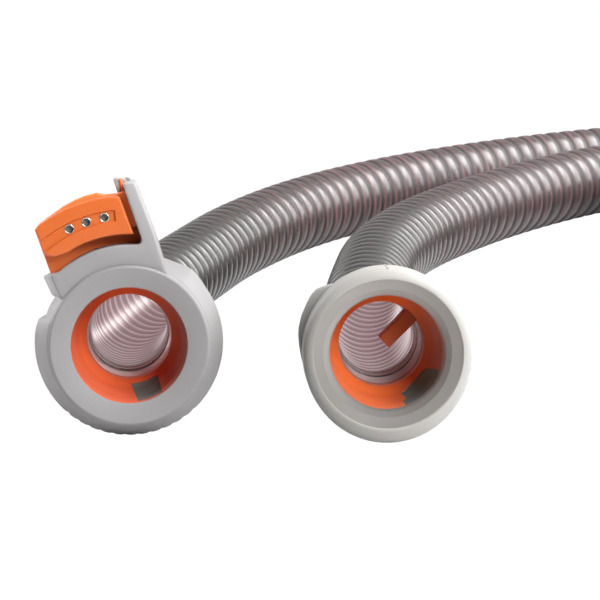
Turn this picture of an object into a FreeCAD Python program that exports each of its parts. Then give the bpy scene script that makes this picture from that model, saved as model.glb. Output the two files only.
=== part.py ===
"""Heated breathing hose: machine cuff with three-contact plug, ribbed hose, mask cuff with sensor blade.

Frame: millimetres, +Z up, +X from the machine cuff to the mask cuff, +Y away from the mouths of both cuffs.
The origin is the middle of the foot of the box round the two cuffs, on the surface they lie on.
Each cuff is drawn in its own frame, mouth at the origin and +Y along its axis into the hose, and then laid in place.
"""
import FreeCAD
import Part
import math
import os

from FreeCAD import Vector

Placement, Rotation = FreeCAD.Placement, FreeCAD.Rotation
os.makedirs("parts", exist_ok=True)
doc = FreeCAD.newDocument("breathing_hose")

# ---------------------------------------------------------------- driving dimensions
SIZES = [
    # 22 mm conical-fitting bore, the standard of breathing circuits
    ("bore_radius", 11.0), ("bore_depth", 10.0), ("shoulder_start_radius", 9.9), ("shoulder_start", 14.3),
    ("air_radius", 8.3), ("shoulder_end", 16.0), ("seat_start", 18.6), ("seat_end", 27.0), ("seat_radius", 9.3),
    ("insert_radius", 12.2), ("insert_tail_radius", 10.6), ("mouth_gap", 0.4),
    # machine cuff cover
    ("ring_radius", 15.2), ("ring_length", 1.6), ("flange_radius", 18.0), ("flange_start", 6.5), ("flange_end", 9.0),
    ("flange_back_radius", 17.56),
    ("barrel_radius", 14.2), ("barrel_start", 11.6), ("cover_end", 22.0), ("cover_tail_radius", 12.8),
    ("band_radius", 19.0), ("tower_half_width", 9.2), ("arm_inner", 9.45), ("arm_outer", 11.7), ("arm_radius", 31.0),
    ("tower_front", 0.8), ("tower_depth", 11.6), ("key_half_width", 2.5), ("key_start", 3.0), ("key_end", 14.2),
    # plug
    ("plug_half_width", 8.45), ("plug_outer_radius", 28.1), ("plug_inner_radius", 21.0), ("plug_front", 1.2),
    ("plug_back", 9.4), ("plate_front", 6.8), ("plate_outer_radius", 27.6), ("channel_depth", 0.4),
    ("channel_inner_radius", 23.6), ("channel_outer_radius", 25.6), ("rail_radius", 28.9), ("rail_left", -5.4),
    ("rail_right", 5.5), ("contact_arc_radius", 24.6), ("contact_pitch", 3.42), ("contact_middle", 0.96),
    ("contact_radius", 0.95), ("contact_bore_radius", 0.7), ("contact_length", 7.6),
    ("board_front", 9.6), ("board_thickness", 0.8), ("board_low", 20.2), ("board_high", 26.4),
    ("back_cover_end", 14.4), ("back_wall", 1.0),
    # hose and its ends
    ("hose_radius", 9.5), ("hose_bore_radius", 7.5), ("ferrule_bore_radius", 7.6), ("relief_end", 36.0),
    ("relief_end_radius", 11.2), ("tail_bore_radius", 9.6), ("lead_radius", 0.45), ("lead_height", 12.0),
    # mask cuff
    ("lip_radius", 16.1), ("lip_back_radius", 16.7), ("lip_end", 8.0), ("funnel_radius", 14.0),
    ("funnel_end_radius", 11.5), ("mask_insert_start", 4.0), ("mask_offset", 1.0), ("mask_barrel_radius", 14.0),
    ("blade_half_width", 1.3), ("blade_tip", 0.9), ("blade_root", 10.4), ("blade_front", 15.6), ("blade_back", 21.2),
    # where the cuffs lie
    ("machine_x", -23.27), ("machine_y", -16.16), ("machine_z", 18.826), ("machine_yaw", 5.0), ("machine_tilt", -9.5),
    ("machine_roll", -20.0),
    ("mask_x", 25.40), ("mask_y", -18.72), ("mask_z", 17.86), ("mask_yaw", 2.34), ("mask_tilt", -9.4),
    ("mask_roll", 45.0),
    # put-away coil
    ("coil_x", 214.8), ("coil_y", 113.7), ("coil_radius", 115.0), ("coil_inner_radius", 95.0), ("entry_length", 48.0),
]
sheet = doc.addObject("Spreadsheet::Sheet", "Dims")
for number, (name, value) in enumerate(SIZES, start=1):
    sheet.set("A%d" % number, name)
    sheet.set("B%d" % number, repr(float(value)))
    sheet.setAlias("B%d" % number, name)
doc.recompute()


class Size:
    """A length with its value and the sheet expression that drives it."""

    def __init__(self, value, text):
        self.v, self.e = float(value), text

    def _join(self, other, sign, value):
        text = other.e if isinstance(other, Size) else repr(float(other))
        return Size(value, "(%s %s %s)" % (self.e, sign, text))

    def __add__(self, other):
        return self._join(other, "+", self.v + float(other))

    def __sub__(self, other):
        return self._join(other, "-", self.v - float(other))

    def __mul__(self, other):
        return self._join(other, "*", self.v * float(other))

    def __truediv__(self, other):
        return self._join(other, "/", self.v / float(other))

    def __neg__(self):
        return Size(-self.v, "(0 - %s)" % self.e)

    def __float__(self):
        return self.v


D = {name: Size(value, "Dims.%s" % name) for name, value in SIZES}


def fixed(value):
    return value if isinstance(value, Size) else Size(value, repr(float(value)))


# ---------------------------------------------------------------- drawing helpers
def plane(body, role):
    return [f for f in body.Origin.OriginFeatures if f.Role == role][0]


def new_body(name):
    return doc.addObject("PartDesign::Body", name)


def polygon(body, name, role, points, offset=0.0):
    """A closed, fully dimensioned outline on one of the body's own planes."""
    sketch = body.newObject("Sketcher::SketchObject", name)
    sketch.AttachmentSupport = [(plane(body, role), "")]
    sketch.MapMode = "FlatFace"
    pts = [(fixed(a), fixed(b)) for a, b in points]
    for i, (a, b) in enumerate(pts):
        c, d = pts[(i + 1) % len(pts)]
        sketch.addGeometry(Part.LineSegment(Vector(a.v, b.v, 0), Vector(c.v, d.v, 0)), False)
    import Sketcher
    for i in range(len(pts)):
        sketch.addConstraint(Sketcher.Constraint("Coincident", i, 2, (i + 1) % len(pts), 1))
    for i, (a, b) in enumerate(pts):
        for kind, q in (("DistanceX", a), ("DistanceY", b)):
            index = sketch.addConstraint(Sketcher.Constraint(kind, -1, 1, i, 1, q.v))
            sketch.setExpression("Constraints[%d]" % index, q.e)
    if offset is not None:
        q = fixed(offset)
        sketch.AttachmentOffset = Placement(Vector(0, 0, -q.v), Rotation())
        if isinstance(offset, Size):
            sketch.setExpression("AttachmentOffset.Base.z", (-q).e)
    return sketch


def circles(body, name, role, rings, offset=0.0):
    """Circles given as (x, y, radius) on one of the body's own planes."""
    import Sketcher
    sketch = body.newObject("Sketcher::SketchObject", name)
    sketch.AttachmentSupport = [(plane(body, role), "")]
    sketch.MapMode = "FlatFace"
    for i, (a, b, r) in enumerate(rings):
        a, b, r = fixed(a), fixed(b), fixed(r)
        sketch.addGeometry(Part.Circle(Vector(a.v, b.v, 0), Vector(0, 0, 1), r.v), False)
        index = sketch.addConstraint(Sketcher.Constraint("Radius", i, r.v))
        sketch.setExpression("Constraints[%d]" % index, r.e)
        if abs(a.v) < 1e-9 and abs(b.v) < 1e-9:
            sketch.addConstraint(Sketcher.Constraint("Coincident", i, 3, -1, 1))
        else:
            for kind, q in (("DistanceX", a), ("DistanceY", b)):
                index = sketch.addConstraint(Sketcher.Constraint(kind, -1, 1, i, 3, q.v))
                sketch.setExpression("Constraints[%d]" % index, q.e)
    q = fixed(offset)
    sketch.AttachmentOffset = Placement(Vector(0, 0, -q.v), Rotation())
    if isinstance(offset, Size):
        sketch.setExpression("AttachmentOffset.Base.z", (-q).e)
    return sketch


def turned(body, name, points, cut=False):
    """A turned shape: (radius, distance along the axis) swept round the body's Y axis."""
    sketch = polygon(body, name + "_profile", "XY_Plane", points, None)
    feature = body.newObject("PartDesign::Groove" if cut else "PartDesign::Revolution", name)
    feature.Profile = sketch
    feature.ReferenceAxis = (sketch, ["V_Axis"])
    feature.Angle = 360.0
    return feature


def extruded(body, name, sketch, length, cut=False):
    """A pad or pocket that runs from the sketch along +Y."""
    feature = body.newObject("PartDesign::Pocket" if cut else "PartDesign::Pad", name)
    feature.Profile = sketch
    feature.Type = 0
    q = fixed(length)
    feature.Length = q.v
    feature.setExpression("Length", q.e)
    feature.Reversed = not cut
    doc.recompute()
    return feature


def box(name, low, high):
    """A plain box between two corners, bound to the sheet."""
    b = doc.addObject("Part::Box", name)
    for axis, key, lo, hi in zip("xyz", ("Length", "Width", "Height"), low, high):
        lo, hi = fixed(lo), fixed(hi)
        b.setExpression(key, (hi - lo).e)
        b.setExpression("Placement.Base.%s" % axis, lo.e)
    return b


def boolean(kind, name, base, tool):
    f = doc.addObject("Part::" + kind, name)
    f.Base, f.Tool = base, tool
    return f


def pose(prefix):
    """Where a cuff lies: roll about its own axis, then tilt, then yaw, then its mouth's centre."""
    turn = (Rotation(Vector(0, 0, 1), D[prefix + "_yaw"].v)
            .multiply(Rotation(Vector(1, 0, 0), D[prefix + "_tilt"].v))
            .multiply(Rotation(Vector(0, 1, 0), D[prefix + "_roll"].v)))
    return Placement(Vector(D[prefix + "_x"].v, D[prefix + "_y"].v, D[prefix + "_z"].v), turn)


MACHINE, MASK = pose("machine"), pose("mask")
pieces = []


def keep(obj, label, placement):
    """Lays a finished piece in place and names it."""
    obj.Label = label
    obj.Placement = placement
    pieces.append((label, obj))


# ================================================================ machine end
# Grey cover: front ring, flared skirt, grip flange and barrel, with the band and arm that fence the plug.
cover = new_body("MachineCover")
turned(cover, "CoverBarrel", [
    (D["bore_radius"], 0), (D["ring_radius"] - 0.5, 0), (D["ring_radius"], 0.5), (D["ring_radius"], D["ring_length"]),
    (D["flange_radius"], D["flange_start"]), (D["flange_back_radius"], D["flange_end"]),
    (D["barrel_radius"] + 0.6, D["barrel_start"] - 0.4), (D["barrel_radius"], D["barrel_start"] + 0.8),
    (D["cover_tail_radius"], D["cover_end"]), (D["insert_tail_radius"], D["cover_end"]),
    (D["insert_tail_radius"], D["shoulder_end"]), (D["insert_radius"], D["shoulder_start"] - 0.4),
    (D["insert_radius"], D["mouth_gap"]), (D["bore_radius"], D["mouth_gap"])])
doc.recompute()
tower = polygon(cover, "tower_outline", "XZ_Plane", [
    (-D["tower_half_width"], 12.6), (D["arm_outer"] - 0.3, 12.6), (D["arm_outer"], 34), (-D["tower_half_width"], 34)],
    D["tower_front"])
extruded(cover, "Tower", tower, D["tower_depth"])
well = polygon(cover, "well_outline", "XZ_Plane", [
    (-30, 14.0), (-30, 40), (D["arm_inner"] + 0.4, 40), (D["arm_inner"], D["band_radius"] - 1.4),
    (D["arm_inner"] - 1.4, D["band_radius"] - 1.55), (5.6, 18.15), (2.8, 18.8), (0.0, D["band_radius"]), (-2.8, 18.8),
    (-5.6, 18.15), (-8.0, 17.2), (-9.6, 16.3), (-14, 14.0)], D["tower_front"] - 1.0)
extruded(cover, "PlugWell", well, D["tower_depth"] + 2.0, cut=True)
crown = circles(cover, "crown_rings", "XZ_Plane", [(0, 0, D["arm_radius"]), (0, 0, 45)], D["tower_front"] - 1.0)
extruded(cover, "ArmCrown", crown, D["tower_depth"] + 2.0, cut=True)
# Channel for the leads between the insert's tail and the cover, and the grip notches under the flange.
race = polygon(cover, "lead_race", "XZ_Plane", [(-2.6, 10.0), (2.6, 10.0), (2.6, 12.9), (-2.6, 12.9)], 12.2)
extruded(cover, "LeadRace", race, 12.0, cut=True)
shaft = polygon(cover, "lead_shaft", "XZ_Plane", [(-2.6, 10.8), (2.6, 10.8), (2.6, 22.0), (-2.6, 22.0)], 10.5)
extruded(cover, "LeadShaft", shaft, 3.2, cut=True)
notch = circles(cover, "notch_ring", "XZ_Plane", [(7.6, -16.95, 0.9)], D["flange_start"] - 1.2)
first_notch = extruded(cover, "GripNotch", notch, 4.2, cut=True)
grip = cover.newObject("PartDesign::PolarPattern", "GripNotches")
grip.Originals = [first_notch]
grip.Axis = (plane(cover, "Y_Axis"), [""])
grip.Angle = 48.0
grip.Occurrences = 9
grip.Reversed = False
cover.Tip = grip
doc.recompute()

# Orange insert: 22 mm bore, shoulder, air hole and seat for the hose's ferrule.
def insert_profile(start, shift):
    s = shift
    return [
        (D["bore_radius"], start), (D["bore_radius"], D["bore_depth"] + s),
        (D["shoulder_start_radius"], D["shoulder_start"] + s), (D["air_radius"], D["shoulder_end"] + s),
        (D["air_radius"], D["seat_start"] + s), (D["seat_radius"], D["seat_start"] + s),
        (D["seat_radius"], D["seat_end"] + s), (D["insert_tail_radius"], D["seat_end"] + s),
        (D["insert_tail_radius"], D["shoulder_end"] + s), (D["insert_radius"], D["shoulder_start"] + s - 0.4),
        (D["insert_radius"], start)]


insert = new_body("MachineInsertTurned")
turned(insert, "InsertShape", insert_profile(D["mouth_gap"], 0.0))
key_box = box("KeyBox", (-D["key_half_width"], D["key_start"], -13.0), (D["key_half_width"], D["key_end"], -8.0))
machine_insert = boolean("Cut", "MachineInsert", insert, key_box)
# The cover's key comes up through the insert's slot and lies flush in the bore.
insert_twin = new_body("KeyStock")
turned(insert_twin, "KeyStockShape", insert_profile(D["mouth_gap"], 0.0))
key_box_two = box("KeyBoxTwo", (-D["key_half_width"], D["key_start"], -13.0), (D["key_half_width"], D["key_end"], -8.0))
key = boolean("Common", "LockKey", insert_twin, key_box_two)
machine_cover = boolean("Fuse", "MachineCoverWithKey", cover, key)

# Orange plug: raised block with a curved contact channel, back plate, latch rail and side tab.
plug = new_body("Plug")
w = D["plug_half_width"]
outline = polygon(plug, "block_outline", "XZ_Plane", [(-w, 16.5), (w, 16.5), (w, 32), (-w, 32)], D["plug_front"])
extruded(plug, "Block", outline, D["plug_back"] - D["plug_front"])
top = circles(plug, "block_top", "XZ_Plane", [(0, 0, D["plug_outer_radius"]), (0, 0, 45)], D["plug_front"] - 1.0)
extruded(plug, "BlockTop", top, D["plug_back"], cut=True)
under = circles(plug, "block_under", "XZ_Plane", [(0, 0, D["plug_inner_radius"])], D["plug_front"] - 1.0)
extruded(plug, "BlockUnder", under, D["plug_back"] + 2.0, cut=True)
back = polygon(plug, "plate_outline", "XZ_Plane", [
    (-D["tower_half_width"] + 0.1, 16.55), (-8.0, 17.35), (-5.6, 18.3), (-2.8, 18.95), (0, D["band_radius"] + 0.15),
    (2.8, 18.95), (5.6, 18.3), (7.9, 17.6), (D["arm_inner"] - 0.15, 17.75), (D["arm_inner"] + 0.2, 30.2),
    (D["arm_inner"] - 0.9, 30.2), (D["arm_inner"] - 0.95, 26.0), (0, 27.0), (-D["plug_half_width"], 24.0)],
    D["plate_front"])
extruded(plug, "BackPlate", back, D["plug_back"] - D["plate_front"])
rail = polygon(plug, "rail_outline", "XZ_Plane", [
    (D["rail_left"] - 1.2, 26.5), (D["rail_left"] - 0.9, 27.4), (D["rail_left"], 28.0), (-2.0, D["rail_radius"] - 0.1),
    (1.0, D["rail_radius"]), (3.4, D["rail_radius"] - 0.15), (D["rail_right"], 28.35), (D["rail_right"], 26.5)], 5.6)
extruded(plug, "LatchRail", rail, 2.6)
groove = circles(plug, "channel_rings", "XZ_Plane", [
    (0, 0, D["channel_outer_radius"]), (0, 0, D["channel_inner_radius"])], D["plug_front"] - 1.0)
channel = extruded(plug, "ContactChannel", groove, D["channel_depth"] + 1.0, cut=True)
stop = polygon(plug, "channel_stop", "XZ_Plane", [(6.4, 22.0), (w, 22.0), (w, 26.6), (6.4, 26.6)], D["plug_front"])
extruded(plug, "ChannelStop", stop, 1.0)
spots = []
for k in (-1, 0, 1):
    x = D["contact_middle"].v + k * D["contact_pitch"].v
    spots.append((x, math.sqrt(D["contact_arc_radius"].v ** 2 - x * x)))
holes = circles(plug, "contact_holes", "XZ_Plane",
                [(D["contact_middle"] + D["contact_pitch"] * k, z, D["contact_radius"])
                 for k, (x, z) in zip((-1, 0, 1), spots)], D["plug_front"] - 1.0)
extruded(plug, "ContactHoles", holes, D["plug_back"] + 2.0, cut=True)
doc.recompute()

# Metal socket contacts: three tubes, closed at the back, each with a solder tail through the board.
sockets = new_body("Sockets")
tubes = circles(sockets, "tube_rings", "XZ_Plane",
                [(D["contact_middle"] + D["contact_pitch"] * k, z, D["contact_radius"] - 0.02)
                 for k, (x, z) in zip((-1, 0, 1), spots)], D["plug_front"] + 0.5)
extruded(sockets, "Tubes", tubes, D["contact_length"])
bores = circles(sockets, "tube_bores", "XZ_Plane",
                [(D["contact_middle"] + D["contact_pitch"] * k, z, D["contact_bore_radius"])
                 for k, (x, z) in zip((-1, 0, 1), spots)], D["plug_front"] - 0.5)
extruded(sockets, "TubeBores", bores, D["contact_length"] - 0.6, cut=True)
tails = circles(sockets, "tail_rings", "XZ_Plane",
                [(D["contact_middle"] + D["contact_pitch"] * k, z, 0.35)
                 for k, (x, z) in zip((-1, 0, 1), spots)], D["plug_front"] + 8.0)
extruded(sockets, "Tails", tails, 2.4)
doc.recompute()

# Board behind the plug, with holes for the tails, and its identification parts.
board = new_body("Board")
plate = polygon(board, "board_outline", "XZ_Plane", [
    (-7.2, D["board_low"]), (7.2, D["board_low"]), (7.2, D["board_high"] - 1.6), (4.6, D["board_high"]),
    (-4.6, D["board_high"]), (-7.2, D["board_high"] - 1.6)], D["board_front"])
extruded(board, "BoardPlate", plate, D["board_thickness"])
drills = circles(board, "tail_holes", "XZ_Plane",
                 [(D["contact_middle"] + D["contact_pitch"] * k, z, 0.4)
                  for k, (x, z) in zip((-1, 0, 1), spots)], D["board_front"] - 0.5)
extruded(board, "TailHoles", drills, D["board_thickness"] + 1.0, cut=True)
doc.recompute()
chips = new_body("Chips")
for n, (x, z) in enumerate(((-5.2, 21.6), (-2.4, 21.4))):
    chip = polygon(chips, "chip_outline_%d" % n, "XZ_Plane", [(x, z), (x + 1.6, z), (x + 1.6, z + 0.8), (x, z + 0.8)],
                   D["board_front"] + D["board_thickness"])
    pad = chips.newObject("PartDesign::Pad", "Chip%d" % n)
    pad.Profile = chip
    pad.Length = 0.5
    pad.Reversed = True
    if hasattr(pad, "AllowMultiFace"):
        pad.AllowMultiFace = True
    doc.recompute()

# Grey back cover of the plug: a shell open to the front that closes over the board.
rear = new_body("RearCover")
t = D["back_wall"]
shell = polygon(rear, "shell_outline", "XZ_Plane", [
    (-D["tower_half_width"] + 0.2, 19.2), (D["arm_outer"] - 0.2, 19.2), (D["arm_outer"] - 0.1, 29.4),
    (D["arm_inner"] - 0.9, 29.8), (D["arm_inner"] - 1.0, 26.8), (0, 27.3), (-6.0, 26.2),
    (-D["tower_half_width"] + 0.2, 24.0)], D["plug_back"] + 0.02)
extruded(rear, "Shell", shell, D["back_cover_end"] - D["plug_back"])
hollow = polygon(rear, "hollow_outline", "XZ_Plane", [
    (-D["tower_half_width"] + 1.2, 20.1), (D["arm_inner"] - 1.4, 20.1), (D["arm_inner"] - 1.4, 25.7), (0, 26.6),
    (-5.6, 25.6), (-D["tower_half_width"] + 1.2, 23.6)], D["plug_back"] - 1.0)
extruded(rear, "Hollow", hollow, D["back_cover_end"] - D["plug_back"] + 1.0 - t, cut=True)
exit_slot = polygon(rear, "lead_exit", "XZ_Plane", [(-2.4, 18.0), (2.4, 18.0), (2.4, 21.0), (-2.4, 21.0)],
                    D["plug_back"] - 1.0)
extruded(rear, "LeadExit", exit_slot, 4.9, cut=True)
doc.recompute()


def pipe(points, radius, hollow_radius=None, bend=0.45):
    """A round tube along straight runs joined by tangent arcs. Returns the solid, its path length and the radii."""
    p = [Vector(*q) for q in points]
    edges, radii, here = [], [], p[0]
    for i in range(1, len(p) - 1):
        a, b = p[i - 1] - p[i], p[i + 1] - p[i]
        short = min(a.Length, b.Length)
        back_off = bend * short
        a.normalize()
        b.normalize()
        turn = math.pi - a.getAngle(b)
        radii.append(back_off / math.tan(turn / 2))
        start, end = p[i] + a * back_off, p[i] + b * back_off
        bisect = (a + b).normalize()
        centre_distance = math.hypot(radii[-1], back_off)
        middle = p[i] + bisect * (centre_distance - radii[-1])
        edges.append(Part.LineSegment(here, start).toShape())
        edges.append(Part.Arc(start, middle, end).toShape())
        here = end
    edges.append(Part.LineSegment(here, p[-1]).toShape())
    wire = Part.Wire(edges)
    direction = (p[1] - p[0]).normalize()

    def swept(r):
        ring = Part.Wire([Part.Circle(p[0], direction, r).toShape()])
        return wire.makePipeShell([ring], True, False, 2)
    solid = swept(radius)
    section = math.pi * radius ** 2
    if hollow_radius:
        solid = solid.cut(swept(hollow_radius))
        section -= math.pi * hollow_radius ** 2
    return solid, wire.Length, radii, section


def soft_feature(name, shape):
    f = doc.addObject("Part::Feature", name)
    f.Shape = shape
    return f


# Leads from the board down the shaft and back along the channel to the hose's bead.
lead_y = D["board_front"].v + D["board_thickness"].v
lead_shapes = []
for x in (-1.5, 0.0, 1.5):
    solid, length, radii, section = pipe(
        [(x, lead_y + 1.3, 21.0), (x, lead_y + 1.2, 14.8), (x, lead_y + 3.4, 12.2), (x, lead_y + 6.4, 11.5),
         (x, D["cover_end"].v - 0.4, 11.45)], D["lead_radius"].v)
    lead_shapes.append(solid)
machine_leads = soft_feature("MachineLeads", Part.makeCompound(lead_shapes))

# Clear ferrule that holds the hose's end in the insert's seat.
ferrule = new_body("MachineFerrule")
turned(ferrule, "FerruleShape", [
    (D["ferrule_bore_radius"] + 0.25, D["seat_start"]), (D["seat_radius"] - 0.03, D["seat_start"]),
    (D["seat_radius"] - 0.03, D["seat_end"]), (D["ferrule_bore_radius"] - 0.1, D["seat_end"]),
    (D["ferrule_bore_radius"] - 0.1, D["seat_start"] + 2.4), (D["ferrule_bore_radius"] + 0.25, D["seat_start"] + 0.8)])

# Soft tapered sleeve where the hose leaves the cuff, with bending grooves.
def relief(name, shift, outer):
    body = new_body(name)
    turned(body, "SleeveShape", [
        (D["insert_tail_radius"], D["cover_end"] + shift), (outer, D["cover_end"] + shift),
        (outer - 0.1, D["cover_end"] + shift + 1.2), (D["relief_end_radius"], D["relief_end"] + shift - 0.5),
        (D["relief_end_radius"] - 0.4, D["relief_end"] + shift), (D["tail_bore_radius"], D["relief_end"] + shift),
        (D["tail_bore_radius"], D["seat_end"] + shift), (D["insert_tail_radius"], D["seat_end"] + shift)])
    first = turned(body, "BendGroove", [
        (D["insert_tail_radius"] + 0.75, D["seat_end"] + shift - 1.2), (14.5, D["seat_end"] + shift - 1.2),
        (14.5, D["seat_end"] + shift - 0.1), (D["insert_tail_radius"] + 0.75, D["seat_end"] + shift - 0.1)], cut=True)
    rows = body.newObject("PartDesign::LinearPattern", "BendGrooves")
    rows.Originals = [first]
    rows.Direction = (plane(body, "Y_Axis"), [""])
    rows.Length = 6.9
    rows.Occurrences = 4
    body.Tip = rows
    doc.recompute()
    return body


machine_relief = relief("MachineRelief", 0.0, D["cover_tail_radius"] - 0.2)

keep(machine_cover, "machine_cuff_cover", MACHINE)
keep(machine_insert, "machine_bore_insert", MACHINE)
keep(plug, "connector_housing", MACHINE)
keep(sockets, "contact_sockets", MACHINE)
keep(board, "connector_circuit_board", MACHINE)
keep(chips, "board_resistors", MACHINE)
keep(rear, "connector_rear_cover", MACHINE)
keep(machine_leads, "machine_lead_wires", MACHINE)
keep(ferrule, "machine_hose_ferrule", MACHINE)
keep(machine_relief, "machine_strain_relief", MACHINE)

# ================================================================ mask end
off = D["mask_offset"]
mask = new_body("MaskCover")
turned(mask, "MaskBarrel", [
    (D["funnel_radius"], 0.1), (D["funnel_radius"] + 0.9, 0.0), (D["lip_radius"] - 0.3, 0.4), (D["lip_radius"], 1.2),
    (D["lip_back_radius"], D["lip_end"]), (D["lip_back_radius"] - 0.5, D["lip_end"] + 1.2),
    (D["mask_barrel_radius"] + 0.3, D["lip_end"] + 5.0), (D["mask_barrel_radius"], D["lip_end"] + 7.0),
    (D["cover_tail_radius"], D["cover_end"] + off), (D["insert_tail_radius"], D["cover_end"] + off),
    (D["insert_tail_radius"], D["shoulder_end"] + off), (D["insert_radius"], D["shoulder_start"] + off - 0.4),
    (D["insert_radius"], D["mask_insert_start"]), (D["funnel_end_radius"], D["mask_insert_start"]),
    (D["funnel_end_radius"], D["mask_insert_start"] - 0.6)])
doc.recompute()
tab = polygon(mask, "tab_outline", "XZ_Plane", [
    (-11.0, 1.0), (-16.6, 0.6), (-17.45, 0.0), (-17.45, -1.6), (-17.15, -4.3), (-16.45, -6.9), (-15.35, -9.1),
    (-13.9, -11.0), (-12.0, -12.6), (-9.9, -13.9), (-7.6, -14.9), (-6.2, -15.3), (-4.6, -14.0), (-6.0, -9.6)],
    D["lip_end"] + 1.6)
extruded(mask, "GripTab", tab, 9.0)
clear_bore = circles(mask, "tab_clearance", "XZ_Plane", [(0, 0, D["insert_tail_radius"])], D["shoulder_end"] + off)
extruded(mask, "TabClearance", clear_bore, 8.0, cut=True)
clear_seat = circles(mask, "seat_clearance", "XZ_Plane", [(0, 0, D["insert_radius"])], D["mask_insert_start"])
extruded(mask, "SeatClearance", clear_seat, D["shoulder_start"] + off - 0.4 - D["mask_insert_start"], cut=True)
race = polygon(mask, "mask_race", "XZ_Plane", [(-2.6, 10.0), (2.6, 10.0), (2.6, 12.7), (-2.6, 12.7)], 16.6)
extruded(mask, "MaskRace", race, 8.0, cut=True)
doc.recompute()

mask_turned = new_body("MaskInsertTurned")
turned(mask_turned, "MaskInsertShape", insert_profile(D["mask_insert_start"], off))
mask_key_box = box("MaskKeyBox", (8.0, D["mask_insert_start"] + 1.0, -3.0), (13.0, D["key_end"] + off, 2.4))
mask_cut_one = boolean("Cut", "MaskInsertSlotted", mask_turned, mask_key_box)
blade_slot = box("BladeSlot", (-D["blade_half_width"], D["blade_front"], 7.0),
                 (D["blade_half_width"], D["blade_back"], 11.0))
mask_insert = boolean("Cut", "MaskInsert", mask_cut_one, blade_slot)
mask_twin = new_body("MaskKeyStock")
turned(mask_twin, "MaskKeyStockShape", insert_profile(D["mask_insert_start"], off))
mask_key_box_two = box("MaskKeyBoxTwo", (8.0, D["mask_insert_start"] + 1.0, -3.0), (13.0, D["key_end"] + off, 2.4))
mask_key = boolean("Common", "MaskLockKey", mask_twin, mask_key_box_two)
mask_cover = boolean("Fuse", "MaskCoverWithKey", mask, mask_key)

# Orange sensor blade across the air way, with a pocket for the bead and its leads.
blade = new_body("Blade")
b = D["blade_half_width"]
side = polygon(blade, "blade_outline", "XZ_Plane", [
    (-b + 0.02, D["blade_tip"] + 0.3), (-b + 0.35, D["blade_tip"]), (b - 0.35, D["blade_tip"]),
    (b - 0.02, D["blade_tip"] + 0.3), (b - 0.02, D["blade_root"]), (-b + 0.02, D["blade_root"])],
    D["blade_front"] + 0.02)
extruded(blade, "BladeBody", side, D["blade_back"] - D["blade_front"] - 0.04)
pocket = polygon(blade, "bead_pocket", "XZ_Plane", [(-0.7, D["blade_tip"] + 0.6), (0.7, D["blade_tip"] + 0.6),
                                                   (0.7, 14.0), (-0.7, 14.0)], D["blade_front"] + 2.2)
extruded(blade, "BeadPocket", pocket, 1.4, cut=True)
doc.recompute()
bead = doc.addObject("Part::Sphere", "Bead")
bead.Radius = 0.55
bead.setExpression("Placement.Base.y", "Dims.blade_front + 2.9")
bead.setExpression("Placement.Base.z", "Dims.blade_tip + 1.25")
bead_shape = doc.addObject("Part::Fuse", "BeadWithNeck")
neck = doc.addObject("Part::Cylinder", "BeadNeck")
neck.Radius = 0.3
neck.Height = 0.9
neck.setExpression("Placement.Base.y", "Dims.blade_front + 2.9")
neck.setExpression("Placement.Base.z", "Dims.blade_tip + 1.25")
bead_shape.Base, bead_shape.Tool = bead, neck
sensor_lead_shapes = []
bf = D["blade_front"].v + 2.9
for x in (-0.34, 0.34):
    solid, length, radii, section = pipe(
        [(x, bf, D["blade_tip"].v + 2.3), (x, bf, 9.4), (x, bf + 0.5, 11.1), (x, bf + 2.4, 11.75),
         (x, D["cover_end"].v + 0.6, 11.8)], 0.2)
    sensor_lead_shapes.append(solid)
sensor_leads = soft_feature("SensorLeads", Part.makeCompound(sensor_lead_shapes))
# The two heating conductors come out of the hose's bead and meet in a crimp.
mask_lead_shapes = []
for x in (-1.55, 1.55):
    solid, length, radii, section = pipe(
        [(x, D["cover_end"].v + 0.6, 11.55), (x, 20.4, 11.6), (x * 0.96, 19.0, 11.7)], 0.35)
    mask_lead_shapes.append(solid)
mask_leads = soft_feature("MaskLeads", Part.makeCompound(mask_lead_shapes))
crimp_bar = box("CrimpBar", (-2.2, 17.0, 11.0), (2.2, 18.98, 12.4))
crimp_slot = box("CrimpSlot", (-0.75, 16.0, 10.5), (0.75, 20.0, 13.0))
crimp_base = boolean("Cut", "CrimpLugs", crimp_bar, crimp_slot)
crimp_bridge = box("CrimpBridge", (-1.2, 17.0, 12.2), (1.2, 17.9, 12.4))
crimp = boolean("Fuse", "Crimp", crimp_base, crimp_bridge)

mask_ferrule = new_body("MaskFerrule")
turned(mask_ferrule, "MaskFerruleShape", [
    (D["ferrule_bore_radius"] + 0.25, D["blade_back"] + 0.1), (D["seat_radius"] - 0.03, D["blade_back"] + 0.1),
    (D["seat_radius"] - 0.03, D["seat_end"] + off), (D["ferrule_bore_radius"] - 0.1, D["seat_end"] + off),
    (D["ferrule_bore_radius"] - 0.1, D["blade_back"] + 1.6), (D["ferrule_bore_radius"] + 0.25, D["blade_back"] + 0.8)])
mask_relief = relief("MaskRelief", off, D["cover_tail_radius"] - 0.2)

keep(mask_cover, "mask_cuff_cover", MASK)
keep(mask_insert, "mask_bore_insert", MASK)
keep(blade, "sensor_fin", MASK)
keep(bead_shape, "thermistor_bead", MASK)
keep(sensor_leads, "sensor_leads", MASK)
keep(mask_leads, "mask_lead_wires", MASK)
keep(crimp, "heater_crimp", MASK)
keep(mask_ferrule, "mask_hose_ferrule", MASK)
keep(mask_relief, "mask_strain_relief", MASK)

# ================================================================ hose
# The route's points. Each free end leaves its cuff on the cuff's own axis, comes down to the surface and runs beside
# the other to the put-away coil. The hose is 19 mm across, so it rests on the surface at 9.5 mm.
def exit_point(place, along):
    return tuple(place.multVec(Vector(0, along, 0)))


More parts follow.
